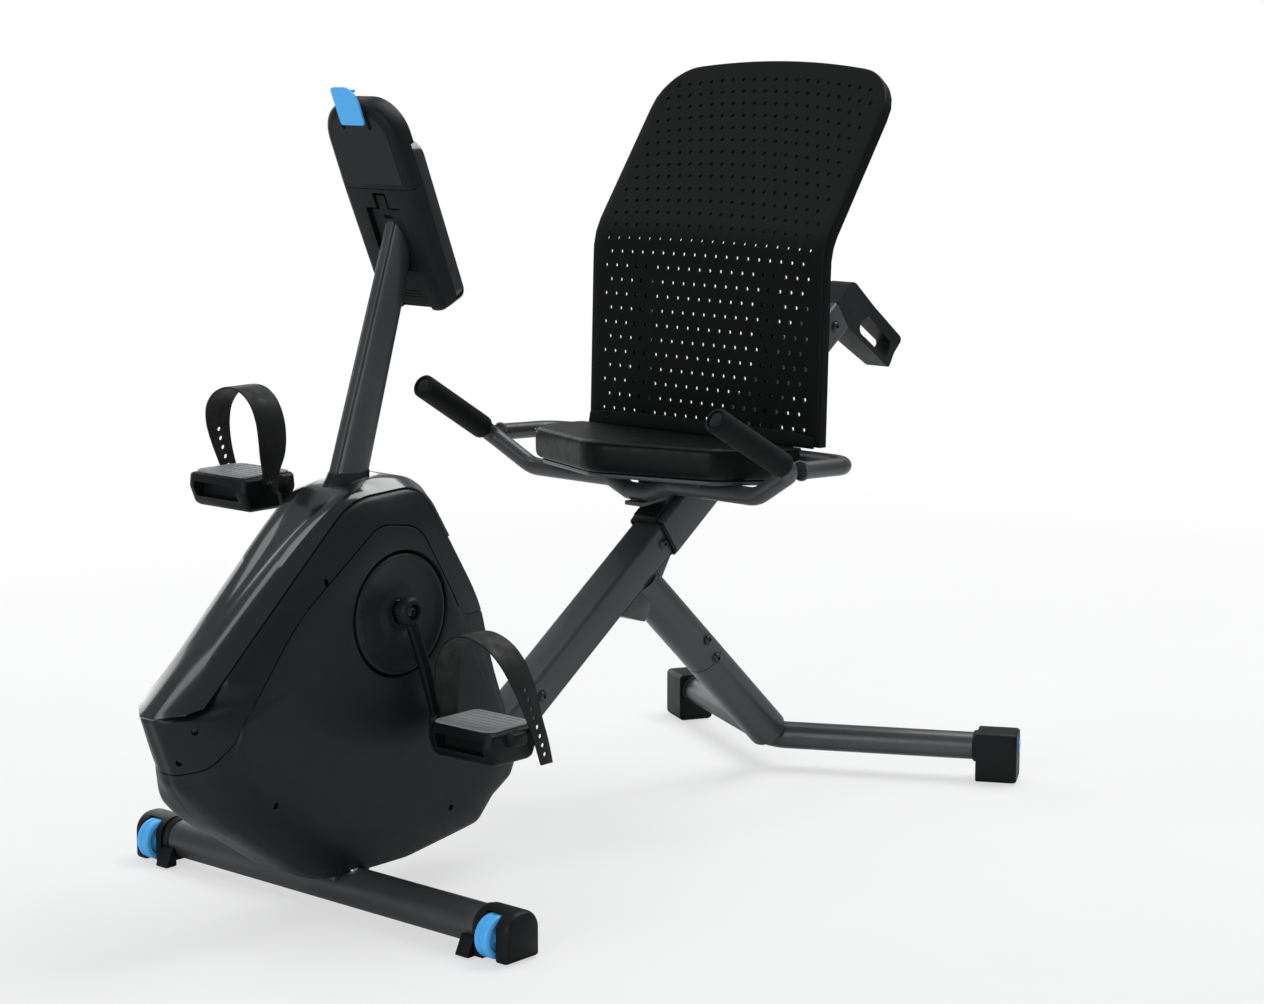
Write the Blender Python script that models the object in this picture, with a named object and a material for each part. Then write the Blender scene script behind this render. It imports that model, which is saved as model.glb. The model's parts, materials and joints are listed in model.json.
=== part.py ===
"""Recumbent exercise bike with a seat that slides along an inclined beam.

Metres, +Z up. The rider faces -Y, and +X is the rider's left. The origin is on the floor,
at the middle of the bike's length and width.
"""
import math

import bmesh
import bpy
from mathutils import Matrix, Vector

# ---------------------------------------------------------------- driving dimensions
GAP = 0.0004                    # air between pieces that touch on the real bike
ROUND_SIDES = 20                # sides of a turned piece

BEAM_SLOPE = math.radians(35.0)
BEAM_FOOT_Z = 0.265             # height of the beam's centre line where it crosses Y = 0
BEAM_SIDE = 0.050               # square tube
BEAM_START = -0.300             # along the beam from Y = 0
BEAM_END = 0.692
BEAM_WALL = 0.0025

NOSE_Y = -0.730
NOSE_Z = 0.288
HANDLE_TIP_Y = 0.730
HANDLE_TIP_Z = 0.614

CRANK_Y = -0.393
CRANK_Z = 0.375
CRANK_LENGTH = 0.152
CRANK_ANGLE = math.radians(-72.0)   # left arm at rest, from +Y towards +Z
PULLEY_R = 0.100
SMALL_PULLEY_R = 0.016
PEDAL_INNER = 0.1120
PEDAL_OUTER = 0.2200
FLYWHEEL_Y = -0.552
FLYWHEEL_Z = 0.205
FLYWHEEL_R = 0.084

STABILISER_Y = -0.456
STABILISER_Z = 0.031
STABILISER_R = 0.025
STABILISER_HALF = 0.340

CAP_LENGTH = 0.056
CAP_HEIGHT = 0.060
WHEEL_R = 0.0265
WHEEL_Y = STABILISER_Y - 0.0185
WHEEL_Z = 0.0285
SADDLE_TOP = 0.068

STOP_BOLT = 0.1945              # along the beam
STRUT_SLOPE = math.radians(42.3)
STRUT_R = 0.029
STRUT_JOIN = 0.150
STRUT_END = 0.352

BASE_APEX_Y = 0.440
BASE_Z = 0.048
BASE_R = 0.020
BASE_SWEEP = math.radians(28.1)
BASE_LEG = 0.333                # apex to the middle of a foot
FOOT_LENGTH = 0.060
FOOT_HEIGHT = 0.073

SHELL_HALF = 0.070              # half width over the side shells
SHELL_WALL = 0.003
RIM_HALF = 0.056                # half width where the front cover meets the shells
DISH_R = 0.088

MAST_FOOT = Vector((0.0, -0.4455, 0.4290))
MAST_SLOPE = math.radians(72.1)
CONSOLE_LEAN = math.radians(22.5)
CONSOLE_REF = Vector((0.0, -0.355, 0.887))
CONSOLE_HALF = 0.062
CONSOLE_LOW = 0.168             # below the seam line
CONSOLE_HIGH = 0.112            # above it
KEY_UP = -0.115

GRIP_X = 0.274
GRIP_BASE = Vector((GRIP_X, 0.118, 0.512))
GRIP_TIP = Vector((0.264, -0.019, 0.590))
BAR_R = 0.0125
GRIP_R = 0.017
BAR_Y = 0.141
BAR_Z = 0.464

SLEEVE_START = 0.2080           # along the beam
SLEEVE_END = 0.4200
KNOB_REACH = 0.3300
PAN_TOP = 0.4885

STRAP_X = 0.115                 # uprights that carry the backrest
BACK_STRAP_HALF = 0.014
BACK_STRAP_THICK = 0.004
BACK_HALF = 0.210
BACK_THICK = 0.005
BACK_FOOT = (0.268, 0.516)      # Y, Z of the panel's lower front edge
BACK_BEND = (0.276, 0.790)
BACK_TOP = (0.452, 1.036)


# ---------------------------------------------------------------- small geometry helpers
def along_beam(distance, height=0.0, x=0.0):
    """Point at a distance along the beam's centre line and a height square to it."""
    y = distance * math.cos(BEAM_SLOPE) - height * math.sin(BEAM_SLOPE)
    z = BEAM_FOOT_Z + distance * math.sin(BEAM_SLOPE) + height * math.cos(BEAM_SLOPE)
    return Vector((x, y, z))


def on_console(x, up, out):
    """Point on the console: up its leaning back plane, and out towards the rider."""
    y = CONSOLE_REF.y - up * math.sin(CONSOLE_LEAN) + out * math.cos(CONSOLE_LEAN)
    z = CONSOLE_REF.z + up * math.cos(CONSOLE_LEAN) + out * math.sin(CONSOLE_LEAN)
    return Vector((x, y, z))


def rounded_outline(corners, steps=5):
    """Closed outline with each (a, b, radius) corner replaced by a tangent arc."""
    points = []
    count = len(corners)
    for index, (a, b, radius) in enumerate(corners):
        here = Vector((a, b))
        before = Vector(corners[index - 1][:2]) - here
        after = Vector(corners[(index + 1) % count][:2]) - here
        turn = before.angle(after)
        if radius <= 0.0 or turn > math.radians(177.0):
            points.append((a, b))
            continue
        reach = min(radius / math.tan(turn / 2.0), 0.48 * before.length, 0.48 * after.length)
        real = reach * math.tan(turn / 2.0)
        middle = before.normalized() + after.normalized()
        centre = here + middle.normalized() * (real / math.sin(turn / 2.0))
        start = here + before.normalized() * reach - centre
        finish = here + after.normalized() * reach - centre
        sweep = start.angle_signed(finish)
        for step in range(steps + 1):
            spun = start.copy()
            spun.rotate(Matrix.Rotation(-sweep * step / steps, 2))
            points.append(tuple(centre + spun))
    return points


def inset_outline(points, distance):
    """Outline moved inwards by a distance, with mitred corners."""
    area = sum(p[0] * q[1] - q[0] * p[1] for p, q in zip(points, points[1:] + points[:1]))
    side = 1.0 if area > 0 else -1.0
    moved = []
    for index, point in enumerate(points):
        here = Vector(point)
        before = (here - Vector(points[index - 1])).normalized()
        after = (Vector(points[(index + 1) % len(points)]) - here).normalized()
        bisector = Vector((-before.y - after.y, before.x + after.x)).normalized() * side
        scale = max(bisector.dot(Vector((-after.y, after.x)) * side), 0.5)
        moved.append(tuple(here + bisector * (distance / scale)))
    return moved


def circle(radius, sides=ROUND_SIDES, start=0.0):
    """Points of a circle in its own plane."""
    return [(radius * math.cos(start + math.tau * i / sides),
             radius * math.sin(start + math.tau * i / sides)) for i in range(sides)]


def ellipse(half_a, half_b, sides=ROUND_SIDES):
    """Points of an ellipse in its own plane."""
    return [(half_a * math.cos(math.tau * i / sides),
             half_b * math.sin(math.tau * i / sides)) for i in range(sides)]


def box_outline(half_a, half_b, radius=0.0, steps=2):
    """Rectangle with rounded corners, centred in its own plane."""
    corners = [(half_a, half_b), (-half_a, half_b), (-half_a, -half_b), (half_a, -half_b)]
    return rounded_outline([(a, b, radius) for a, b in corners], steps)


# ---------------------------------------------------------------- objects and materials
def clear_scene():
    """Remove every object that is already there."""
    for item in list(bpy.data.objects):
        bpy.data.objects.remove(item, do_unlink=True)


def make_material(name, colour, roughness, metallic):
    """A Principled BSDF material."""
    material = bpy.data.materials.new(name)
    material.use_nodes = True
    shader = material.node_tree.nodes["Principled BSDF"]
    shader.inputs["Base Color"].default_value = (*colour, 1.0)
    shader.inputs["Roughness"].default_value = roughness
    shader.inputs["Metallic"].default_value = metallic
    return material


FINISHES = {
    "steel": ((0.045, 0.048, 0.051), 0.38, 0.55),
    "dark_plastic": ((0.018, 0.020, 0.021), 0.55, 0.0),
    "gloss_plastic": ((0.012, 0.013, 0.014), 0.08, 0.0),
    "rubber": ((0.020, 0.020, 0.021), 0.75, 0.0),
    "blue_plastic": ((0.040, 0.270, 0.700), 0.40, 0.0),
    "bare_steel": ((0.420, 0.420, 0.430), 0.30, 1.0),
    "cast_iron": ((0.100, 0.100, 0.105), 0.55, 0.9),
    "cushion": ((0.012, 0.012, 0.013), 0.60, 0.0),
    "screen": ((0.010, 0.012, 0.014), 0.05, 0.0),
}


def add_object(name, mesh_data, finish, origin=(0.0, 0.0, 0.0), angle=30.0):
    """Turn a bmesh into a named object whose origin is at the given point."""
    bmesh.ops.recalc_face_normals(mesh_data, faces=mesh_data.faces)
    if mesh_data.calc_volume(signed=True) < 0.0:
        bmesh.ops.reverse_faces(mesh_data, faces=mesh_data.faces)
    bmesh.ops.translate(mesh_data, vec=-Vector(origin), verts=mesh_data.verts)
    mesh = bpy.data.meshes.new(name)
    mesh_data.to_mesh(mesh)
    mesh_data.free()
    mesh.shade_smooth()
    mesh.set_sharp_from_angle(angle=math.radians(angle))
    made = bpy.data.objects.new(name, mesh)
    made.location = origin
    if finish is not None:
        made.data.materials.append(make_material(name, *FINISHES[finish]))
    bpy.context.scene.collection.objects.link(made)
    return made


def loft(rings, closed=False):
    """Skin a list of equally long rings; the ends are capped unless the loft is closed."""
    skin = bmesh.new()
    rows = [[skin.verts.new(point) for point in ring] for ring in rings]
    size = len(rows[0])
    pairs = list(zip(rows, rows[1:]))
    if closed:
        pairs.append((rows[-1], rows[0]))
    for low, high in pairs:
        for i in range(size):
            j = (i + 1) % size
            skin.faces.new((low[i], low[j], high[j], high[i]))
    if not closed:
        skin.faces.new(list(reversed(rows[0])))
        skin.faces.new(rows[-1])
    return skin


def prism_x(outline, low, high):
    """Outline in the YZ plane, extruded between two X values."""
    return loft([[(x, y, z) for y, z in outline] for x in (low, high)])


def turned_x(profile, centre, sides=ROUND_SIDES):
    """Body of revolution about an X axis; the closed profile holds (x, radius) pairs."""
    rings = []
    for step in range(sides):
        angle = math.tau * step / sides
        rings.append([(x, centre[0] + r * math.cos(angle), centre[1] + r * math.sin(angle))
                      for x, r in profile])
    return loft(rings, closed=True)


def rod_x(low, high, radius, centre, sides=ROUND_SIDES, bevel=0.0):
    """Solid round bar along X, with small chamfers where asked."""
    stops = [(low, radius - bevel), (low + bevel, radius), (high - bevel, radius), (high, radius - bevel)]
    if bevel <= 0.0:
        stops = [(low, radius), (high, radius)]
    return loft([[(x, centre[0] + a, centre[1] + b) for a, b in circle(r, sides)] for x, r in stops])


def frames_along(path):
    """Two cross directions at each point of a path, carried along without twist."""
    tangents = []
    for index in range(len(path)):
        before = path[max(index - 1, 0)]
        after = path[min(index + 1, len(path) - 1)]
        tangents.append((after - before).normalized())
    guide = Vector((0.0, 0.0, 1.0))
    if abs(tangents[0].dot(guide)) > 0.9:
        guide = Vector((0.0, 1.0, 0.0))
    side = tangents[0].cross(guide).normalized()
    frames = []
    for tangent in tangents:
        side = (side - tangent * side.dot(tangent)).normalized()
        frames.append((side, tangent.cross(side)))
    return frames


def bent_tube(path, radius, sides=12):
    """Solid round bar along a bent path."""
    rings = []
    for point, (side, up) in zip(path, frames_along(path)):
        rings.append([point + side * a + up * b for a, b in circle(radius, sides)])
    return loft(rings)


def pipe(start, finish, outer, inner):
    """Straight hollow section; both outlines lie in the plane across the run."""
    direction = (finish - start).normalized()
    guide = Vector((1.0, 0.0, 0.0)) if abs(direction.x) < 0.9 else Vector((0.0, 1.0, 0.0))
    up = direction.cross(guide).normalized()
    side = up.cross(direction).normalized()

    def ring(point, outline):
        return [point + side * a + up * b for a, b in outline]

    return loft([ring(start, outer), ring(finish, outer), ring(finish, inner), ring(start, inner)],
                closed=True)


def fillet_path(corners, steps=5):
    """Path through (point, radius) corners with an arc at each inner corner."""
    path = [corners[0][0]]
    for (last, _), (here, radius), (following, _) in zip(corners, corners[1:], corners[2:]):
        before = (last - here).normalized()
        after = (following - here).normalized()
        turn = before.angle(after)
        reach = radius / math.tan(turn / 2.0)
        centre = here + (before + after).normalized() * (radius / math.sin(turn / 2.0))
        axis = (here + before * reach - centre).cross(here + after * reach - centre).normalized()
        for step in range(steps + 1):
            spun = here + before * reach - centre
            spun.rotate(Matrix.Rotation((math.pi - turn) * step / steps, 3, axis))
            path.append(centre + spun)
    path.append(corners[-1][0])
    return path


def cutter(mesh_data, name):
    """Hidden guide body used by a Boolean modifier."""
    made = add_object(name, mesh_data, None)
    made.hide_render = True
    made.display_type = "WIRE"
    return made


def combine(target, tool, operation="DIFFERENCE"):
    """Add a Boolean modifier to an object."""
    step = target.modifiers.new(tool.name, "BOOLEAN")
    step.operation = operation
    step.object = tool
    step.solver = "EXACT"


# ---------------------------------------------------------------- base, beam and rear frame
def make_stabiliser():
    """Front cross tube with its end caps, wheels and wheel axles."""
    centre = (STABILISER_Y, STABILISER_Z)
    tube_half = STABILISER_HALF - CAP_LENGTH
    add_object("front_stabiliser", pipe(Vector((-tube_half, *centre)), Vector((tube_half, *centre)),
                                        circle(STABILISER_R, 24), circle(STABILISER_R - 0.002, 24)), "steel")
    slot = (0.2960, 0.3210)
    axle = (0.2860, 0.3330)
    outline = rounded_outline([(STABILISER_Y - 0.031, 0.0, 0.004), (STABILISER_Y + 0.025, 0.0, 0.004),
                               (STABILISER_Y + 0.025, CAP_HEIGHT, 0.022),
                               (STABILISER_Y - 0.031, CAP_HEIGHT, 0.024)], 4)
    small = [(y, max(z, 0.0)) for y, z in inset_outline(outline, 0.003)]
    mouth = [(WHEEL_Y - 0.05, -0.01), (WHEEL_Y, -0.01), (WHEEL_Y, WHEEL_Z + WHEEL_R),
             (WHEEL_Y - 0.05, WHEEL_Z + WHEEL_R)]
    for sign, side in ((1, "left"), (-1, "right")):
        rings = [(tube_half + GAP, outline), (STABILISER_HALF - 0.004, outline), (STABILISER_HALF, small)]
        cap = add_object("front_cap_" + side,
                         loft([[(sign * x, y, z) for y, z in ring] for x, ring in rings]), "dark_plastic")
        low, high = sorted((sign * slot[0], sign * slot[1]))
        combine(cap, cutter(rod_x(low, high, WHEEL_R + 0.002, (WHEEL_Y, WHEEL_Z)), "wheel_slot_" + side))
        combine(cap, cutter(prism_x(mouth, low, high), "wheel_mouth_" + side))
        low, high = sorted((sign * axle[0], sign * axle[1]))
        combine(cap, cutter(rod_x(low - 0.001, high + 0.001, 0.0044, (WHEEL_Y, WHEEL_Z), 12),
                            "axle_hole_" + side))
        add_object("wheel_axle_" + side, rod_x(low, high, 0.0040, (WHEEL_Y, WHEEL_Z), 12), "bare_steel")
        profile = [(slot[0] + 0.001, 0.0050), (slot[1] - 0.001, 0.0050), (slot[1] - 0.001, WHEEL_R - 0.004),
                   (slot[1] - 0.005, WHEEL_R), (slot[0] + 0.005, WHEEL_R), (slot[0] + 0.001, WHEEL_R - 0.004)]
        add_object("transport_wheel_" + side, turned_x([(sign * x, r) for x, r in profile],
                                                       (WHEEL_Y, WHEEL_Z), 24),
                   "blue_plastic", (sign * (slot[0] + slot[1]) / 2.0, WHEEL_Y, WHEEL_Z))


def make_saddle():
    """Curved saddle that clamps the frame to the stabiliser."""
    seat_r = STABILISER_R + GAP
    arc = [(STABILISER_Y + seat_r * math.cos(a), STABILISER_Z + seat_r * math.sin(a))
           for a in (math.radians(d) for d in range(150, 29, -15))]
    shoulder = STABILISER_Z + 0.0135
    outline = arc + [(STABILISER_Y + 0.030, shoulder), (STABILISER_Y + 0.030, SADDLE_TOP),
                     (STABILISER_Y - 0.030, SADDLE_TOP), (STABILISER_Y - 0.030, shoulder)]
    add_object("stabiliser_saddle", prism_x(outline, -0.045, 0.045), "steel")


def cross_bolt(centre, half):
    """Bolt through a square tube, with a low head at each side; half is the tube's half width."""
    stops = ((half + 0.0040, 0.0065), (half + GAP, 0.0078), (half + GAP, 0.0040))
    stops = [(-x, r) for x, r in stops] + [(x, r) for x, r in reversed(stops)]
    return loft([[(x, centre.y + r * a, centre.z + r * b) for a, b in circle(1.0, 12)] for x, r in stops])


def make_beam():
    """Inclined square tube that carries the sliding seat, with the gusset welded under it."""
    half = BEAM_SIDE / 2.0
    inner = half - BEAM_WALL
    beam = add_object("main_beam", pipe(along_beam(BEAM_START), along_beam(BEAM_END),
                                        box_outline(half, half, 0.004), box_outline(inner, inner, 0.002)),
                      "steel")
    corners = [along_beam(0.073, -half + 0.001), along_beam(0.205, -half + 0.001),
               along_beam(0.205, -half - GAP), Vector((0.0, 0.124, 0.2710))]
    gusset = cutter(prism_x([(p.y, p.z) for p in corners], -0.022, 0.022), "gusset")
    strut_room = cutter(loft([strut_ring(d, STRUT_R + GAP) for d in (-0.08, 0.20)]), "strut_clearance")
    combine(gusset, strut_room)
    combine(beam, gusset, "UNION")
    stop = along_beam(STOP_BOLT)
    combine(beam, cutter(rod_x(-0.03, 0.03, 0.0045, (stop.y, stop.z), 12), "stop_hole"))
    add_object("stop_bolt", cross_bolt(stop, half), "bare_steel")


def strut_axis(distance):
    """Point on the rear strut's centre line, measured down from the beam."""
    return Vector((0.0, 0.166 + math.cos(STRUT_SLOPE) * distance, 0.296 - math.sin(STRUT_SLOPE) * distance))


def strut_ring(distance, radius):
    """Ring square to the strut's centre line."""
    sides = 24
    return [strut_axis(distance) + Vector((a, b * math.sin(STRUT_SLOPE), b * math.cos(STRUT_SLOPE)))
            for a, b in circle(radius, sides)]


def make_strut():
    """The two halves of the round strut under the beam."""
    below = -BEAM_SIDE / 2.0 - GAP
    upper = add_object("rear_strut_upper", pipe(strut_axis(-0.045), strut_axis(STRUT_JOIN), circle(STRUT_R, 24),
                                                circle(STRUT_R - 0.003, 24)), "steel")
    region = [along_beam(-0.2, below), along_beam(0.4, below), along_beam(0.4, 0.2), along_beam(-0.2, 0.2)]
    combine(upper, cutter(prism_x([(p.y, p.z) for p in region], -0.06, 0.06), "beam_clearance"))
    add_object("rear_strut_lower", pipe(strut_axis(STRUT_JOIN + GAP), strut_axis(STRUT_END),
                                        circle(STRUT_R, 24), circle(STRUT_R - 0.003, 24)), "steel")


def make_rear_base():
    """V-shaped tube on the floor and the foot at the end of each leg."""
    apex = Vector((0.0, BASE_APEX_Y, BASE_Z))
    leg = Vector((math.cos(BASE_SWEEP), math.sin(BASE_SWEEP), 0.0))
    tube_leg = BASE_LEG - FOOT_LENGTH / 2.0
    ends = {sign: apex + Vector((sign * leg.x, leg.y, 0.0)) * tube_leg for sign in (1, -1)}
    path = fillet_path([(ends[-1], 0.0), (apex, 0.030), (ends[1], 0.0)], 3)
    base = add_object("rear_base", bent_tube(path, BASE_R, 16), "steel")
    combine(base, cutter(loft([strut_ring(d, STRUT_R + GAP) for d in (0.20, STRUT_END + GAP)]), "base_notch"))
    half_height = FOOT_HEIGHT / 2.0
    outline = box_outline(0.0275, half_height, 0.006, 2)
    for sign, side in ((1, "left"), (-1, "right")):
        out = Vector((sign * leg.x, leg.y, 0.0))
        across = Vector((-out.y, out.x, 0.0)) * sign
        rings = []
        for reach, scale in ((GAP, 1.0), (FOOT_LENGTH - 0.004, 1.0), (FOOT_LENGTH, 0.9)):
            centre = ends[sign] + out * reach
            rings.append([(centre.x + across.x * a * scale, centre.y + across.y * a * scale,
                           half_height + b * scale) for a, b in outline])
        add_object("rear_foot_" + side, loft(rings), "dark_plastic")


def make_rear_handle():
    """Moulded end of the beam with the carrying loop."""
    half = BEAM_SIDE / 2.0
    top = along_beam(BEAM_END + GAP, half)
    bottom = along_beam(BEAM_END + GAP, -half)
    crest = along_beam(0.748, half)
    outline = rounded_outline([(top.y, top.z, 0.0), (crest.y, crest.z, 0.016),
                               (HANDLE_TIP_Y + 0.0033, HANDLE_TIP_Z, 0.006), (0.6900, 0.5730, 0.008),
                               (bottom.y, bottom.z, 0.0)], 3)
    handle = add_object("rear_handle", prism_x(outline, -half + 0.0001, half - 0.0001), "dark_plastic")
    for sign, side in ((1, "left"), (-1, "right")):
        low, high = BEAM_END + 0.004, BEAM_END + 0.080
        plan = [(low, half), (high, 0.0130), (high + 0.100, 0.0130), (high + 0.100, 0.060), (low, 0.060)]
        rings = [[along_beam(reach, height, sign * x) for reach, x in plan] for height in (-0.200, 0.100)]
        combine(handle, cutter(loft(rings), "handle_taper_" + side))
    slot = rounded_outline([(0.612, 0.650, 0.010), (0.640, 0.656, 0.010), (0.705, 0.609, 0.006),
                            (0.685, 0.588, 0.006), (0.610, 0.634, 0.008)], 3)
    combine(handle, cutter(prism_x(slot, -0.05, 0.05), "handle_slot"))
    inside = half - BEAM_WALL - 0.0010
    spigot = [along_beam(BEAM_END - 0.045, -inside), along_beam(BEAM_END + 0.010, -inside),
              along_beam(BEAM_END + 0.010, inside), along_beam(BEAM_END - 0.045, inside)]
    combine(handle, cutter(prism_x([(p.y, p.z) for p in spigot], -inside, inside), "handle_spigot"), "UNION")


# ---------------------------------------------------------------- frame inside the housing
def make_inner_frame():
    """Welded frame: low rail, post and bottom bracket, with its bearings and the flywheel's fork."""
    centre = (CRANK_Y, CRANK_Z)
    low, high = SADDLE_TOP + GAP, SADDLE_TOP + 0.040
    end = along_beam(BEAM_START - GAP)
    slant = math.tan(BEAM_SLOPE)
    rail = [(-0.476, low), (end.y + (end.z - low) * slant, low), (end.y + (end.z - high) * slant, high),
            (-0.430, high), (-0.430, MAST_FOOT.z - GAP), (-0.460, MAST_FOOT.z - GAP), (-0.460, high),
            (-0.476, high)]
    frame = add_object("main_frame", prism_x(rail, -0.020, 0.020), "steel")
    web = [(-0.435, 0.345), (-0.395, 0.352), (-0.395, 0.398), (-0.435, 0.405)]
    combine(frame, cutter(prism_x(web, -0.012, 0.012), "bracket_web"), "UNION")
    combine(frame, cutter(rod_x(-0.034, 0.034, 0.022, centre, 24), "bracket_barrel"), "UNION")
    combine(frame, cutter(rod_x(-0.050, 0.050, 0.0170, centre, 24), "bracket_bore"))
    for sign, side in ((1, "left"), (-1, "right")):
        profile = [(0.020, 0.0104), (0.033, 0.0104), (0.033, 0.0166), (0.020, 0.0166)]
        add_object("crank_bearing_" + side, turned_x([(sign * x, r) for x, r in profile], centre, 24),
                   "bare_steel")
    plate = rounded_outline([(FLYWHEEL_Y - 0.022, FLYWHEEL_Z + 0.020, 0.018),
                             (FLYWHEEL_Y + 0.022, FLYWHEEL_Z + 0.020, 0.018),
                             (-0.4765, 0.108, 0.0), (-0.4765, 0.070, 0.0), (-0.500, 0.070, 0.0),
                             (FLYWHEEL_Y - 0.022, FLYWHEEL_Z - 0.015, 0.018)], 3)
    fork = add_object("flywheel_fork", prism_x(plate, 0.0240, 0.0280), "steel")
    combine(fork, cutter(prism_x(plate, -0.0280, -0.0240), "fork_plate"), "UNION")
    combine(fork, cutter(prism_x([(-0.4935, 0.0745), (-0.4775, 0.0745), (-0.4775, 0.1045), (-0.4855, 0.1045)],
                                 -0.0270, 0.0270), "fork_bridge"), "UNION")
    combine(fork, cutter(rod_x(-0.05, 0.05, 0.0089, (FLYWHEEL_Y, FLYWHEEL_Z), 20), "fork_hole"))


def make_drive():
    """Flywheel, both pulleys, belt and the swinging magnet brake."""
    centre = (FLYWHEEL_Y, FLYWHEEL_Z)
    rim = FLYWHEEL_R
    profile = [(-0.0180, 0.0090), (0.0180, 0.0090), (0.0180, 0.0200), (0.0060, 0.0240), (0.0060, rim - 0.022),
               (0.0150, rim - 0.018), (0.0150, rim), (-0.0150, rim), (-0.0150, rim - 0.018),
               (-0.0060, rim - 0.022), (-0.0060, 0.0240), (-0.0180, 0.0200)]
    add_object("flywheel", turned_x(profile, centre, 36), "cast_iron", (0.0, *centre))
    add_object("flywheel_axle", rod_x(-0.0600, 0.0600, 0.0085, centre, 20, 0.001), "bare_steel")
    belt_low, belt_high = -0.0500, -0.0400
    profile = [(belt_low, 0.0090), (belt_high + 0.008, 0.0090), (belt_high + 0.008, 0.0130), (belt_high, 0.0135),
               (belt_high, SMALL_PULLEY_R), (belt_low, SMALL_PULLEY_R)]
    add_object("flywheel_pulley", turned_x(profile, centre, 24), "bare_steel", (0.0, *centre))
    crank = (CRANK_Y, CRANK_Z)
    profile = [(belt_low - 0.002, 0.0104), (belt_high + 0.0035, 0.0104), (belt_high + 0.0035, 0.022),
               (belt_high - 0.003, 0.026), (belt_high - 0.003, PULLEY_R - 0.012), (belt_high, PULLEY_R - 0.008),
               (belt_high, PULLEY_R), (belt_low, PULLEY_R), (belt_low, PULLEY_R - 0.008),
               (belt_low + 0.003, PULLEY_R - 0.012), (belt_low + 0.003, 0.026), (belt_low - 0.002, 0.022)]
    add_object("drive_pulley", turned_x(profile, crank, 36), "dark_plastic", (0.0, *crank))
    add_object("drive_belt", belt_body(crank, centre, belt_low + 0.001, belt_high - 0.001), "rubber")
    near, far = rim + 0.0020, rim + 0.0080
    arc = [math.radians(a) for a in range(60, 136, 15)]
    outline = [(centre[0] + near * math.cos(a), centre[1] + near * math.sin(a)) for a in arc]
    outline += [(centre[0] + far * math.cos(a), centre[1] + far * math.sin(a)) for a in reversed(arc)]
    add_object("magnet_brake", prism_x(outline, -0.0150, 0.0150), "bare_steel")


def belt_body(large, small, low, high):
    """Flat belt round the two pulleys, as a closed loop."""
    first = Vector(large)
    second = Vector(small)
    run = second - first
    angle = math.atan2(run.y, run.x)
    spread = math.acos((PULLEY_R - SMALL_PULLEY_R) / run.length)

    def loop(extra):
        points = []
        for step in range(25):
            turn = angle + spread + (math.tau - 2.0 * spread) * step / 24
            points.append(first + Vector((math.cos(turn), math.sin(turn))) * (PULLEY_R + extra))
        for step in range(9):
            turn = angle - spread + 2.0 * spread * step / 8
            points.append(second + Vector((math.cos(turn), math.sin(turn))) * (SMALL_PULLEY_R + extra))
        return points

    inner, outer = loop(GAP), loop(0.0030)
    rings = [[(low, p.x, p.y) for p in outer], [(high, p.x, p.y) for p in outer],
             [(high, p.x, p.y) for p in inner], [(low, p.x, p.y) for p in inner]]
    return loft(rings, closed=True)


# ---------------------------------------------------------------- housing
def housing_outline():
    """Side view of the shells, from the seam above the chin up over the dome and round."""
    return rounded_outline([(-0.6460, 0.3450, 0.0), (-0.4490, 0.5215, 0.110), (-0.3240, 0.5230, 0.055),
                            (-0.2350, 0.3660, 0.300), (-0.1560, 0.1380, 0.010), (-0.1680, 0.1130, 0.008),
                            (-0.2050, 0.0920, 0.012), (-0.2300, 0.0620, 0.020), (-0.3600, 0.0420, 0.150),
                            (-0.5100, 0.0400, 0.150), (-0.6600, 0.1450, 0.120), (-0.6970, 0.2130, 0.010),
                            (-0.6500, 0.2330, 0.030), (-0.6190, 0.2950, 0.030)], 3)


def shell_half(sign, outline):
    """One side shell: stepped rings outside, the same rings one wall further in inside."""
    profile = ((0.0003, 0.0), (0.0450, 0.0), (RIM_HALF, 0.005), (0.0610, 0.018), (0.0665, 0.040),
               (SHELL_HALF, 0.044))
    rings = [[(sign * x, y, z) for y, z in inset_outline(outline, inset)] for x, inset in profile]
    for x, inset in reversed(profile):
        inside = max(x - SHELL_WALL, 0.0003)
        rings.append([(sign * inside, y, z) for y, z in inset_outline(outline, inset + SHELL_WALL)])
    skin = bmesh.new()
    rows = [[skin.verts.new(point) for point in ring] for ring in rings]
    half = len(profile)
    for low, high in list(zip(rows[:half], rows[1:half])) + list(zip(rows[half:], rows[half + 1:])):
        for i in range(len(low)):
            j = (i + 1) % len(low)
            skin.faces.new((low[i], low[j], high[j], high[i]))
    skin.faces.new(rows[half - 1])
    skin.faces.new(rows[half])
    for i in range(len(rows[0])):
        j = (i + 1) % len(rows[0])
        skin.faces.new((rows[-1][i], rows[-1][j], rows[0][j], rows[0][i]))
    bmesh.ops.triangulate(skin, faces=[f for f in skin.faces if len(f.verts) > 4])
    return skin


def cover_crown():
    """Crown line of the front cover in side view: nose, straight rise, dome and its rear lip."""
    corners = [(Vector((-0.7160, 0.3020, 0.0)), 0.0), (Vector((-0.7000, 0.3180, 0.0)), 0.060),
               (Vector((-0.4550, 0.5313, 0.0)), 0.120), (Vector((-0.3200, 0.5370, 0.0)), 0.060),
               (Vector((-0.2905, 0.4900, 0.0)), 0.0)]
    return [p.to_2d() for p in fillet_path(corners, 4)]


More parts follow.
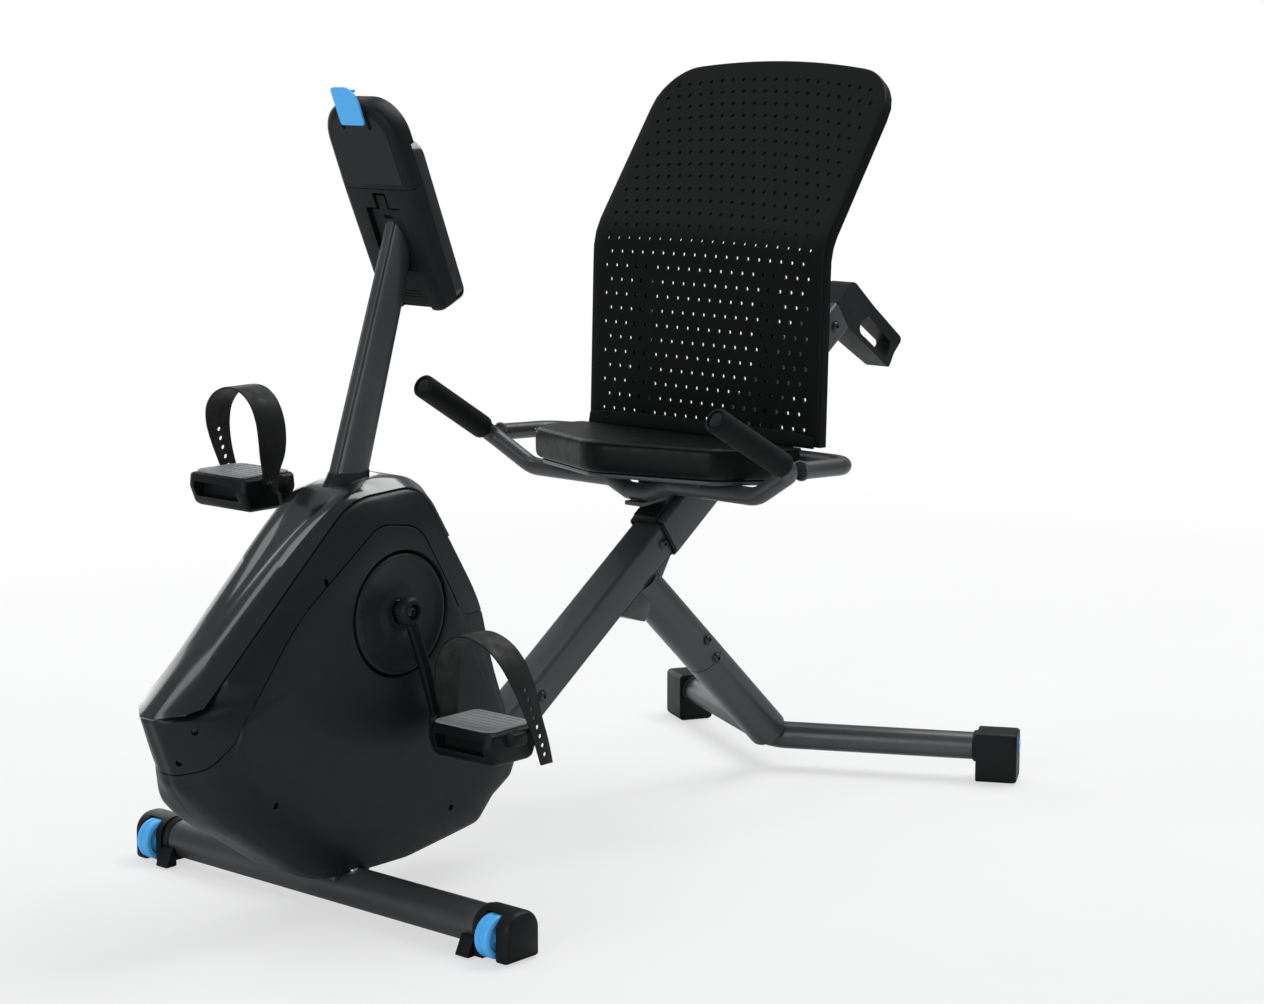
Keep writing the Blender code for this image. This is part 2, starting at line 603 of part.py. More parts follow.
def cover_section(half, drop, wall):
    """Cross section of the front cover: flat crown, chamfered sides, open underneath."""
    crown = half - 0.021
    outer = [(-half, -drop), (-half + 0.002, 0.0035 - drop), (-crown, -0.0015), (0.0, 0.0)]
    inner = [(0.0, -wall), (-crown, -0.0015 - wall), (-half + 0.010, -drop)]
    ring = outer + [(-x, z) for x, z in reversed(outer[:-1])]
    return ring + [(-x, z) for x, z in reversed(inner[1:])] + inner


def make_front_cover():
    """Gloss cover over the front and top of the shells."""
    path = cover_crown()
    last = len(path) - 1
    rings = [[(x, NOSE_Y, NOSE_Z + 0.0005 + (z + 0.003) * 0.2) for x, z in cover_section(0.0260, 0.003, 0.002)]]
    for index, point in enumerate(path):
        run = (path[min(index + 1, last)] - path[max(index - 1, 0)]).normalized()
        normal = Vector((-run.y, run.x))
        blend = min(max((point.x + 0.700) / 0.060, 0.0), 1.0)
        drop = 0.0150 + (0.0100 - 0.0150) * blend
        rings.append([(x, *(point + normal * z)) for x, z in cover_section(RIM_HALF, drop, SHELL_WALL)])
    return add_object("front_cover", loft(rings), "gloss_plastic")


def make_nose_plate():
    """Hollow chin under the front cover."""
    outline = rounded_outline([(NOSE_Y + 0.0010, NOSE_Z - 0.0010, 0.002), (-0.7000, 0.2200, 0.006),
                               (-0.6965, 0.2160, 0.0), (-0.6505, 0.2380, 0.028), (-0.6225, 0.2955, 0.028),
                               (-0.6480, 0.3390, 0.0), (-0.6600, 0.3280, 0.0), (-0.6950, 0.2950, 0.0),
                               (-0.7120, 0.2860, 0.0)], 4)
    profile = ((0.054, 0.010), (0.049, 0.004), (0.026, 0.0))
    rings = [[(-x, y, z) for y, z in inset_outline(outline, inset)] for x, inset in profile]
    rings += [[(x, y, z) for y, z in inset_outline(outline, inset)] for x, inset in reversed(profile)]
    plate = add_object("nose_plate", loft(rings), "dark_plastic")
    hollow = [(-0.706, 0.280), (-0.690, 0.232), (-0.655, 0.246), (-0.600, 0.270), (-0.600, 0.345),
              (-0.652, 0.325), (-0.690, 0.290)]
    combine(plate, cutter(prism_x(hollow, -0.043, 0.043), "nose_hollow"))


def make_housing():
    """Both side shells, front cover, chin and the dished covers round the crank."""
    outline = housing_outline()
    mast_hole = cutter(mast_body(0.0015, -0.06, 0.16, False), "mast_hole")
    clear = BEAM_SIDE / 2.0 + 0.0015
    around = [along_beam(-0.32, -clear), along_beam(0.02, -clear), along_beam(0.02, clear),
              along_beam(-0.32, clear)]
    beam_hole = cutter(prism_x([(p.y, p.z) for p in around], -clear, clear), "beam_opening")
    notch = [(STABILISER_Y - 0.034, 0.0), (STABILISER_Y + 0.034, 0.0),
             (STABILISER_Y + 0.034, SADDLE_TOP + 0.002), (STABILISER_Y - 0.034, SADDLE_TOP + 0.002)]
    saddle_hole = cutter(prism_x(notch, -0.100, 0.100), "saddle_notch")
    centre = (CRANK_Y, CRANK_Z)
    for sign, side in ((1, "left"), (-1, "right")):
        shell = add_object("shroud_" + side, shell_half(sign, outline), "dark_plastic", angle=25.0)
        low, high = sorted((sign * 0.0600, sign * 0.0800))
        dish = cutter(rod_x(low, high, DISH_R + GAP, centre, 40), "dish_hole_" + side)
        for tool in (dish, mast_hole, beam_hole, saddle_hole):
            combine(shell, tool)
        profile = [(0.0680, 0.0140), (0.0730, 0.0145), (0.0730, 0.0260), (0.0680, 0.0400),
                   (0.0665, DISH_R - 0.012), (0.0725, DISH_R - 0.004), (0.0725, DISH_R),
                   (0.0640, DISH_R), (0.0640, 0.0300), (0.0650, 0.0140)]
        add_object("crank_cover_" + side, turned_x([(sign * x, r) for x, r in profile], centre, 40),
                   "dark_plastic")
    cover = make_front_cover()
    combine(cover, mast_hole)
    make_nose_plate()


# ---------------------------------------------------------------- crank set and pedals
def make_crank_set():
    """Axle, arms, pedals, their axles and the toe straps."""
    centre = (CRANK_Y, CRANK_Z)
    add_object("crank_axle", rod_x(-0.0900, 0.0900, 0.0100, centre, 20, 0.001), "bare_steel", (0.0, *centre))
    for sign, side in ((1, "left"), (-1, "right")):
        arm = Vector((math.cos(CRANK_ANGLE), math.sin(CRANK_ANGLE))) * sign
        end = Vector(centre) + arm * CRANK_LENGTH
        make_crank_arm(sign, side, centre, arm, end)
        low, high = sorted((sign * 0.0810, sign * (PEDAL_OUTER - 0.006)))
        axle = rod_x(low, high, 0.0060, end, 16, 0.001)
        add_object("pedal_axle_" + side, axle, "bare_steel", (0.0, *end))
        make_pedal(sign, side, end)
        make_strap(sign, side, end)


def make_crank_arm(sign, side, centre, arm, end):
    """Tapered arm with a round boss at each end and a bore in each boss."""
    across = Vector((-arm.y, arm.x))
    outline = []
    start_angle = math.atan2(across.y, across.x)
    for step in range(9):
        turn = start_angle + math.pi * step / 8
        outline.append(Vector(centre) + Vector((math.cos(turn), math.sin(turn))) * 0.0190)
    for step in range(9):
        turn = start_angle + math.pi + math.pi * step / 8
        outline.append(end + Vector((math.cos(turn), math.sin(turn))) * 0.0125)
    low, high = sorted((sign * 0.0805, sign * 0.0945))
    body = add_object("crank_arm_" + side, prism_x([tuple(p) for p in outline], low, high), "dark_plastic",
                      (0.0, *centre))
    combine(body, cutter(rod_x(-0.12, 0.12, 0.0103, centre, 20), "arm_bore_" + side))
    combine(body, cutter(rod_x(-0.12, 0.12, 0.0063, end, 16), "thread_bore_" + side))
    waist_low, waist_high = sorted((sign * 0.0925, sign * 0.1000))
    waist = [Vector(centre) + arm * 0.030 + across * 0.006, Vector(centre) + arm * 0.030 - across * 0.006,
             end - arm * 0.026 - across * 0.004, end - arm * 0.026 + across * 0.004]
    combine(body, cutter(prism_x([tuple(p) for p in waist], waist_low, waist_high), "arm_groove_" + side))


def make_pedal(sign, side, end):
    """Platform pedal whose heavy lower half keeps the tread up."""
    outline = rounded_outline([(end.x - 0.042, end.y + 0.011, 0.006), (end.x + 0.044, end.y + 0.011, 0.006),
                               (end.x + 0.046, end.y - 0.012, 0.008), (end.x + 0.034, end.y - 0.036, 0.008),
                               (end.x - 0.034, end.y - 0.036, 0.008), (end.x - 0.044, end.y - 0.012, 0.008)], 2)
    profile = ((PEDAL_INNER, 0.004), (PEDAL_INNER + 0.006, 0.0), (PEDAL_OUTER - 0.008, 0.0), (PEDAL_OUTER, 0.006))
    rings = [[(sign * x, y, z) for y, z in inset_outline(outline, inset)] for x, inset in profile]
    body = add_object("pedal_" + side, loft(rings), "dark_plastic", (sign * PEDAL_INNER, *end))
    low, high = sorted((0.0, sign * (PEDAL_OUTER - 0.005)))
    combine(body, cutter(rod_x(low, high, 0.0064, end, 16), "pedal_bore_" + side))


def make_strap(sign, side, end):
    """Toe strap: a flat band from the inner edge over the foot, with a hanging tail."""
    # outward place, height, rearward shift and width of the band at each station
    stops = [(0.1090, 0.0075, 0.000, 0.030), (0.1060, 0.040, 0.000, 0.040), (0.1080, 0.076, 0.000, 0.044),
             (0.1250, 0.103, 0.000, 0.046), (0.1550, 0.116, 0.000, 0.046), (0.1850, 0.111, 0.002, 0.044),
             (0.2120, 0.092, 0.006, 0.040), (0.2250, 0.062, 0.014, 0.032), (0.2265, 0.030, 0.024, 0.024),
             (0.2262, 0.000, 0.034, 0.022), (0.2262, -0.040, 0.048, 0.022)]
    thick = 0.0022
    rings = []
    for index, (x, z, y, width) in enumerate(stops):
        before = stops[max(index - 1, 0)]
        after = stops[min(index + 1, len(stops) - 1)]
        run = Vector((after[0] - before[0], after[1] - before[1])).normalized()
        normal = Vector((run.y, -run.x)) * (thick / 2.0)
        ring = []
        for edge, face in ((-0.5, -1), (0.5, -1), (0.5, 1), (-0.5, 1)):
            ring.append((sign * (x + normal.x * face), end.x + y + width * edge, end.y + z + normal.y * face))
        rings.append(ring)
    add_object("pedal_strap_" + side, loft(rings), "rubber", (sign * 0.1090, *end))


# ---------------------------------------------------------------- mast and console
def mast_body(extra, low, high, slanted):
    """Tapered oval mast; a slanted top follows the console's back plane."""
    run = Vector((0.0, math.cos(MAST_SLOPE), math.sin(MAST_SLOPE)))
    total = 0.440

    def section(distance):
        share = min(max(distance / total, 0.0), 1.0)
        half_x = 0.0205 - 0.0040 * share + extra
        half_y = 0.0285 - 0.0075 * share + extra
        return ellipse(half_x, half_y, 24)

    rings = []
    for distance in (low, high):
        centre = MAST_FOOT + run * distance
        ring = []
        for a, b in section(distance):
            across = b / math.sin(MAST_SLOPE)
            point = Vector((a, centre.y + across, centre.z))
            if slanted and distance == high:
                point = slide_to_console(Vector((a, centre.y + across, centre.z)), run)
            ring.append(point)
        rings.append(ring)
    return loft(rings)


def slide_to_console(point, run):
    """Move a point along the mast until it lies inside the console's bracket plate."""
    normal = Vector((0.0, math.cos(CONSOLE_LEAN), math.sin(CONSOLE_LEAN)))
    plane = on_console(0.0, 0.0, 0.0080)
    reach = (plane - point).dot(normal) / run.dot(normal)
    return point + run * reach


def console_prism(outline, low, high, edge=0.0):
    """Outline in the console's own plane, extruded outwards, with a chamfered far edge."""
    rings = [[on_console(x, up, low) for x, up in outline]]
    if edge > 0.0:
        rings.append([on_console(x, up, high - edge) for x, up in outline])
    rings.append([on_console(x, up, high) for x, up in inset_outline(outline, edge)])
    return loft(rings)


def console_shell(outline, stations, span):
    """Loft of one outline that shrinks towards the seam line; stations hold (depth, inset)."""
    rings = []
    for depth, inset in stations:
        across = 1.0 - inset / CONSOLE_HALF
        tall = 1.0 - inset / span
        rings.append([on_console(x * across, up * tall, depth) for x, up in outline])
    return loft(rings)


def make_console_shells():
    """Mast, lower and upper housings, battery cover and tablet clip."""
    mast = add_object("mast", mast_body(0.0, 0.0, 0.400, True), "steel")
    plate = [(0.026, -0.112), (0.026, -0.030), (-0.026, -0.030), (-0.026, -0.112)]
    combine(mast, cutter(console_prism(plate, 0.0050, 0.0120), "console_plate"), "UNION")
    half = CONSOLE_HALF
    lower = rounded_outline([(half, -0.0004, 0.0), (-half, -0.0004, 0.0), (-half + 0.004, -CONSOLE_LOW, 0.022),
                             (half - 0.004, -CONSOLE_LOW, 0.022)], 4)
    stations = ((0.0, 0.006), (0.006, 0.0), (0.0220, 0.0))
    back = add_object("console_back", console_shell(lower, stations, CONSOLE_LOW), "dark_plastic")
    pocket = [(0.030, -0.200), (0.030, -0.026), (-0.030, -0.026), (-0.030, -0.200)]
    combine(back, cutter(console_prism(pocket, -0.010, 0.0125), "console_pocket"))
    lid = [(0.028, -0.160), (0.028, -0.1130), (-0.028, -0.1130), (-0.028, -0.160)]
    add_object("battery_cover", console_prism(lid, 0.0050, 0.0121), "dark_plastic")
    upper = rounded_outline([(half, 0.0, 0.0), (half - 0.002, CONSOLE_HIGH, 0.046),
                             (-half + 0.002, CONSOLE_HIGH, 0.046), (-half, 0.0, 0.0)], 5)
    stations = ((0.0, 0.006), (0.006, 0.0), (0.0260, 0.0), (0.0300, 0.004))
    cap = add_object("console_top", console_shell(upper, stations, CONSOLE_HIGH), "dark_plastic")
    step = [(0.10, -0.02), (0.10, 0.0515), (-0.10, 0.0515), (-0.10, -0.02)]
    combine(cap, cutter(console_prism(step, 0.0220, 0.050), "console_step"))
    blade = [(x, up + 0.1115) for x, up in box_outline(0.0200, 0.0245, 0.004)]
    clip = add_object("tablet_clip", console_prism(blade, -0.0055, -0.0012), "blue_plastic",
                      on_console(0.0, 0.1115, 0.0))
    hook = [(x, up + 0.1320) for x, up in box_outline(0.0180, 0.0035)]
    combine(clip, cutter(console_prism(hook, -0.0040, 0.0140), "clip_hook"), "UNION")


def make_console_face():
    """Gloss bezel with its screen and the round key."""
    half = CONSOLE_HALF
    front = rounded_outline([(half - 0.001, 0.0510, 0.020), (-half + 0.001, 0.0510, 0.020),
                             (-half + 0.004, -CONSOLE_LOW, 0.022), (half - 0.004, -CONSOLE_LOW, 0.022)], 4)
    bezel = add_object("console_front", console_prism(front, 0.0224, 0.0400, 0.004), "gloss_plastic")
    window = [(0.046, -0.070), (0.046, 0.034), (-0.046, 0.034), (-0.046, -0.070)]
    combine(bezel, cutter(console_prism(window, 0.0360, 0.050), "screen_recess"))
    glass = inset_outline(window, 0.0005)
    add_object("console_screen", console_prism(glass, 0.0364, 0.0392), "screen")
    well = [(a, KEY_UP + b) for a, b in circle(0.0160, 20)]
    combine(bezel, cutter(console_prism(well, 0.0340, 0.050), "key_well"))
    button = [(a, KEY_UP + b) for a, b in circle(0.0150, 20)]
    add_object("console_key", console_prism(button, 0.0365, 0.0415, 0.001), "rubber",
               on_console(0.0, KEY_UP, 0.0365))


# ---------------------------------------------------------------- seat assembly
def make_seat_carriage():
    """Sleeve that slides on the beam, its front collar and its spring-loaded knob."""
    outer = 0.0300
    inner = BEAM_SIDE / 2.0 + 0.0025
    sleeve = add_object("seat_sleeve", pipe(along_beam(SLEEVE_START), along_beam(SLEEVE_END),
                                            box_outline(outer, outer, 0.004), box_outline(inner, inner, 0.002)),
                        "steel")
    pin_at = along_beam(KNOB_REACH)
    centre = (pin_at.y, pin_at.z)
    combine(sleeve, cutter(rod_x(-0.050, -0.020, 0.0064, centre, 16), "pin_hole"))
    start, finish = SLEEVE_START - 0.0045, SLEEVE_START - GAP
    slim = BEAM_SIDE / 2.0 + 0.0015
    collar = add_object("sleeve_collar", pipe(along_beam(start), along_beam(finish),
                                              box_outline(0.0295, 0.0295, 0.004), box_outline(slim, slim, 0.003)),
                        "dark_plastic")
    block = [along_beam(start + 0.001, 0.0280), along_beam(finish, 0.0280), along_beam(finish, 0.0304),
             along_beam(start + 0.030, 0.0304), along_beam(start + 0.030, 0.0370),
             along_beam(start + 0.004, 0.0370)]
    combine(collar, cutter(prism_x([(p.y, p.z) for p in block], -0.0200, 0.0200), "collar_block"), "UNION")
    stops = ((-0.0279, 0.0055), (-0.0345, 0.0055), (-0.0345, 0.0140), (-0.0370, 0.0170), (-0.0560, 0.0185),
             (-0.0600, 0.0150))
    rings = [[(x, centre[0] + r * a, centre[1] + r * b) for a, b in circle(1.0, 16)] for x, r in stops]
    add_object("seat_lock_knob", loft(rings), "dark_plastic", (-0.0345, *centre))


def make_handlebar():
    """Bent handlebar under the seat, its bracket, the rail behind it and the grips."""
    run = (GRIP_BASE - GRIP_TIP).normalized()
    corner = GRIP_BASE + run * 0.012
    left = [(GRIP_TIP + run * 0.004, 0.0), (corner, 0.022), (Vector((0.205, BAR_Y, BAR_Z)), 0.045),
            (Vector((0.055, BAR_Y, BAR_Z)), 0.030), (Vector((0.018, BAR_Y - 0.004, BAR_Z - 0.014)), 0.0)]
    path = fillet_path(left, 4)
    mirrored = [Vector((-p.x, p.y, p.z)) for p in reversed(path)]
    add_object("handlebar", bent_tube(path + mirrored, BAR_R, 12), "steel")
    low = BAR_Z - 0.014 - BAR_R - GAP
    bracket = [(0.125, low), (0.125, low - 0.006), (0.1745, 0.4345), (0.1785, 0.4271), (0.2250, 0.4597),
               (0.2250, 0.4690), (0.1530, 0.4700), (0.1530, low)]
    add_object("handlebar_bracket", prism_x(bracket, -0.016, 0.016), "steel")
    start = Vector((GRIP_X, 0.148, 0.506))
    rear = Vector((GRIP_X, 0.262, 0.500))
    loop = [(start, 0.0), (rear, 0.035)]
    loop += [(Vector((-p.x, p.y, p.z)), r) for p, r in reversed(loop)]
    add_object("seat_rail", bent_tube(fillet_path(loop, 5), BAR_R - 0.0005, 12), "steel")
    for sign, side in ((1, "left"), (-1, "right")):
        base = Vector((sign * GRIP_BASE.x, GRIP_BASE.y, GRIP_BASE.z))
        tip = Vector((sign * GRIP_TIP.x, GRIP_TIP.y, GRIP_TIP.z))
        make_grip(side, tip, (base - tip).normalized())


def make_grip(side, tip, along):
    """Hollow grip, closed at the rider's end."""
    guide = Vector((1.0, 0.0, 0.0))
    up = along.cross(guide).normalized()
    across = up.cross(along).normalized()
    length = 0.150
    stops = ((0.0, GRIP_R - 0.003), (0.003, GRIP_R), (length, GRIP_R), (length, BAR_R + GAP),
             (0.0034, BAR_R + GAP))
    rings = [[tip + along * d + across * a + up * b for a, b in circle(r, 16)] for d, r in stops]
    add_object("grip_" + side, loft(rings), "rubber")


def back_strap(x):
    """Flat bar from under the pan, bent up behind the backrest."""
    under = PAN_TOP - 0.003
    low = BACK_FOOT[0] + 0.0145
    corner = (low + BACK_STRAP_THICK, seat_height(low, under) - BACK_STRAP_THICK)
    inside = [(0.150, seat_height(0.150, under)), (low, seat_height(low, under))]
    outside = [(0.150, seat_height(0.150, under) - BACK_STRAP_THICK), corner]
    for share in (0.10, 0.26, 0.42):
        y, z, normal = back_section(share)
        near, far = BACK_THICK + GAP, BACK_THICK + GAP + BACK_STRAP_THICK
        inside.append((y + normal.x * near, z + normal.y * near))
        outside.append((y + normal.x * far, z + normal.y * far))
    return prism_x(inside + outside[::-1], x - BACK_STRAP_HALF, x + BACK_STRAP_HALF)


def seat_plan(inset=0.0):
    """Plan of the seat: a shallow V at the front, chamfered corners and straight sides."""
    plan = rounded_outline([(0.0, 0.026, 0.050), (0.165, 0.098, 0.035), (0.200, 0.172, 0.040),
                            (0.207, 0.2450, 0.012), (-0.207, 0.2450, 0.012), (-0.200, 0.172, 0.040),
                            (-0.165, 0.098, 0.035)], 3)
    return inset_outline(plan, inset)


def seat_height(y, top):
    """The seat falls slightly towards the backrest."""
    return top - (y - 0.026) * 0.060


def make_seat():
    """Pan, cushion, backrest panel and the two straps that carry it."""
    pan = seat_plan(0.012)
    thick = 0.004
    rings = [[(x, y, seat_height(y, PAN_TOP) - drop) for x, y in pan] for drop in (thick, 0.0)]
    base = add_object("seat_pan", loft(rings), "steel")
    for sign in (1, -1):
        combine(base, cutter(back_strap(sign * STRAP_X), "back_strap"), "UNION")
    levels = ((PAN_TOP + GAP, 0.006), (PAN_TOP + 0.007, 0.0), (0.5270, 0.0), (0.5350, 0.010))
    rings = [[(x, y, seat_height(y, top)) for x, y in seat_plan(inset)] for top, inset in levels]
    add_object("seat_cushion", loft(rings), "cushion")
    make_backrest()


def back_section(distance):
    """Front face of the backrest at a distance up from its lower edge: Y, Z and lean."""
    low = Vector(BACK_FOOT)
    bend = Vector(BACK_BEND)
    top = Vector(BACK_TOP)
    path = fillet_path([(low.to_3d(), 0.0), (bend.to_3d(), 0.090), (top.to_3d(), 0.0)], 6)
    lengths = [0.0]
    for first, second in zip(path, path[1:]):
        lengths.append(lengths[-1] + (second - first).length)
    target = distance * lengths[-1]
    for index in range(len(path) - 1):
        if target <= lengths[index + 1] or index == len(path) - 2:
            share = (target - lengths[index]) / (lengths[index + 1] - lengths[index])
            point = path[index].lerp(path[index + 1], share)
            run = (path[index + 1] - path[index]).normalized()
            return point.x, point.y, Vector((run.y, -run.x))


def make_backrest():
    """Thin curved panel with round top corners."""
    corner = 0.060
    total = 0.564
    stations = [0.0, 0.15, 0.30, 0.40, 0.45, 0.49, 0.53, 0.58, 0.70, 0.84]
    for step in range(6):
        turn = math.radians(90.0 * step / 5)
        stations.append((total - corner + corner * math.sin(turn)) / total)
    rings = []
    for share in stations:
        y, z, normal = back_section(share)
        over = max(share * total - (total - corner), 0.0)
        half = BACK_HALF - corner + math.sqrt(max(corner * corner - over * over, 0.0))
        rear = (y + normal.x * BACK_THICK, z + normal.y * BACK_THICK)
        rings.append([(-half, y, z), (half, y, z), (half, *rear), (-half, *rear)])
    add_object("backrest_panel", loft(rings), "dark_plastic")


def make_bike():
    """Build every sub-part."""
    clear_scene()
    make_stabiliser()
    make_saddle()
    make_beam()
    make_strut()
    make_rear_base()
    make_rear_handle()
    make_inner_frame()
    make_drive()
    make_housing()
    make_crank_set()
    make_console_shells()
    make_console_face()
    make_seat_carriage()
    make_handlebar()
    make_seat()


make_bike()
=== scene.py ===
"""Looks of the recumbent exercise bike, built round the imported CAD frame.

Metres, in the frame's own axes: the rider faces -Y and +X is the rider's left.
"""
import json
import math

import bmesh
import bpy
import numpy as np
from mathutils import Matrix, Vector


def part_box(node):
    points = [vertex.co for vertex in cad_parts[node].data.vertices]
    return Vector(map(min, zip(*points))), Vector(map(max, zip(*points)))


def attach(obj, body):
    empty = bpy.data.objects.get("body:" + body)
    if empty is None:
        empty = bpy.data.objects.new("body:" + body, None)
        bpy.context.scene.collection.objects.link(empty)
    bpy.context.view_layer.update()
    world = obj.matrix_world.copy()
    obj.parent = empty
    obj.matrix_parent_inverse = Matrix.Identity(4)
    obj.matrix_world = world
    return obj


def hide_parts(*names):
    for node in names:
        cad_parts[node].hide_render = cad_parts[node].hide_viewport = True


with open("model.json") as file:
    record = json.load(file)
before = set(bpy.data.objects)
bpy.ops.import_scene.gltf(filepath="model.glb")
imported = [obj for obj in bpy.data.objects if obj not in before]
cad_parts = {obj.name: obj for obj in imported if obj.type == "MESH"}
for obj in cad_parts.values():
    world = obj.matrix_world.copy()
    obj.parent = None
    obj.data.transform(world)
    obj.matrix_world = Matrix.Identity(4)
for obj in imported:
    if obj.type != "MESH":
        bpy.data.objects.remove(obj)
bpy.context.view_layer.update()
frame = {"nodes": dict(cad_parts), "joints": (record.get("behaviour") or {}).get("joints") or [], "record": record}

# ---------------------------------------------------------------- places read from the frame
JOINTS = {joint["name"]: joint for joint in frame["joints"]}
SIDES = ((1, "left"), (-1, "right"))
LEFT = (1, 0, 0)


def joint_point(name):
    """Place of a hinge."""
    return Vector(JOINTS[name]["pos_m"])


def box_middle(node):
    """Middle of a CAD node's box."""
    low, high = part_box(node)
    return (low + high) / 2.0


CRANK = joint_point("crank_spin")
PEDAL = {1: joint_point("pedal_left_spin"), -1: joint_point("pedal_right_spin")}
WHEEL = {1: joint_point("wheel_left_spin"), -1: joint_point("wheel_right_spin")}
RUN = Vector(JOINTS["seat_slide"]["axis"])              # up along the beam
RISE = Vector((0.0, -RUN.z, RUN.y))                     # square to the beam
BEAM_HALF = 0.025
BEAM_WALL = 0.0025
SLEEVE_MIDDLE = box_middle("seat_sleeve")
BEAM_FOOT = SLEEVE_MIDDLE - RUN * (SLEEVE_MIDDLE.y / RUN.y)    # where its centre line crosses Y = 0
STABILISER = box_middle("front_stabiliser")
STABILISER_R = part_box("front_stabiliser")[1].z - STABILISER.z
CAP_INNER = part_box("front_stabiliser")[1].x
CAP_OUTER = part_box("front_cap_left")[1].x
OUT = -Vector(JOINTS["console_key_press"]["axis"])      # console: towards the rider
UP = Vector(JOINTS["tablet_clip_slide"]["axis"])        # console: up its leaning plane
KEY_UP = -0.115
KEY_OUT = 0.039
CONSOLE = box_middle("console_key") - UP * KEY_UP - OUT * KEY_OUT


def along_beam(distance, height=0.0, x=0.0):
    """Point along the beam's centre line and square to it."""
    return BEAM_FOOT + RUN * distance + RISE * height + Vector((x, 0.0, 0.0))


def on_console(x, up, out):
    """Point on the console's leaning plane."""
    return CONSOLE + Vector((x, 0.0, 0.0)) + UP * up + OUT * out


# ---------------------------------------------------------------- geometry helpers
def smoothstep(low, high, value):
    """0 below low, 1 above high, smooth between."""
    share = min(max((value - low) / (high - low), 0.0), 1.0)
    return share * share * (3.0 - 2.0 * share)


def outline_2d(corners, steps=8):
    """Closed outline with each (a, b, radius) corner replaced by a tangent arc."""
    points = []
    count = len(corners)
    for index, (a, b, radius) in enumerate(corners):
        here = Vector((a, b))
        before = Vector(corners[index - 1][:2]) - here
        after = Vector(corners[(index + 1) % count][:2]) - here
        turn = before.angle(after)
        if radius <= 0.0 or turn > math.radians(178.0):
            points.append((a, b))
            continue
        reach = min(radius / math.tan(turn / 2.0), 0.49 * before.length, 0.49 * after.length)
        real = reach * math.tan(turn / 2.0)
        middle = (before.normalized() + after.normalized()).normalized()
        centre = here + middle * (real / math.sin(turn / 2.0))
        start = here + before.normalized() * reach - centre
        sweep = start.angle_signed(here + after.normalized() * reach - centre)
        for step in range(steps + 1):
            spun = start.copy()
            spun.rotate(Matrix.Rotation(-sweep * step / steps, 2))
            points.append(tuple(centre + spun))
    return points


def rectangle(half_a, half_b, radius, steps=6):
    """Rounded rectangle round the origin."""
    return outline_2d([(half_a, half_b, radius), (-half_a, half_b, radius), (-half_a, -half_b, radius),
                       (half_a, -half_b, radius)], steps)


def both_sides(corners):
    """Outline from the corners on one side, with the other side as their mirror image."""
    return corners + [(-a, b, radius) for a, b, radius in reversed(corners)]


def circle(radius, sides=48):
    """Points of a circle round the origin."""
    return [(radius * math.cos(math.tau * i / sides), radius * math.sin(math.tau * i / sides))
            for i in range(sides)]


def inset(points, distance):
    """Outline moved inwards, with mitred corners."""
    area = sum(p[0] * q[1] - q[0] * p[1] for p, q in zip(points, points[1:] + points[:1]))
    side = 1.0 if area > 0 else -1.0
    moved = []
    for index, point in enumerate(points):
        here = Vector(point)
        before = (here - Vector(points[index - 1])).normalized()
        after = (Vector(points[(index + 1) % len(points)]) - here).normalized()
        across = Vector((-before.y - after.y, before.x + after.x)).normalized() * side
        scale = max(across.dot(Vector((-after.y, after.x)) * side), 0.6)
        moved.append(tuple(here + across * (distance / scale)))
    return moved


def fillet_path(corners, steps=12):
    """Path through (point, radius) corners with an arc at each inner corner."""
    path = [corners[0][0]]
    for (last, _), (here, radius), (following, _) in zip(corners, corners[1:], corners[2:]):
        before = (last - here).normalized()
        after = (following - here).normalized()
        turn = before.angle(after)
        reach = radius / math.tan(turn / 2.0)
        centre = here + (before + after).normalized() * (radius / math.sin(turn / 2.0))
        axis = (here + before * reach - centre).cross(here + after * reach - centre).normalized()
        for step in range(steps + 1):
            spun = here + before * reach - centre
            spun.rotate(Matrix.Rotation((math.pi - turn) * step / steps, 3, axis))
            path.append(centre + spun)
    path.append(corners[-1][0])
    return path


def spline(points, steps=6):
    """Catmull-Rom curve through tuples of any length."""
    knots = [np.array(p, float) for p in points]
    ends = [2 * knots[0] - knots[1]] + knots + [2 * knots[-1] - knots[-2]]
    made = []
    for a, b, c, d in zip(ends, ends[1:], ends[2:], ends[3:]):
        for step in range(steps):
            t = step / steps
            made.append(0.5 * (2 * b + (c - a) * t + (2 * a - 5 * b + 4 * c - d) * t * t
                               + (3 * b - a - 3 * c + d) * t ** 3))
    made.append(knots[-1])
    return made


def heading(path, index):
    """Direction of a path at one of its points."""
    return Vector(path[min(index + 1, len(path) - 1)] - path[max(index - 1, 0)]).normalized()


def cross_directions(axis):
    """Unit axis and two directions square to it."""
    axis = Vector(axis).normalized()
    guide = Vector((0.0, 0.0, 1.0)) if abs(axis.z) < 0.9 else Vector((0.0, 1.0, 0.0))
    side = axis.cross(guide).normalized()
    return axis, side, side.cross(axis)


def path_frames(path):
    """Two cross directions at each point of a path, carried along without twist."""
    tangents = [heading(path, index) for index in range(len(path))]
    side = cross_directions(tangents[0])[1]
    frames = []
    for tangent in tangents:
        side = (side - tangent * side.dot(tangent)).normalized()
        frames.append((side, tangent.cross(side)))
    return frames


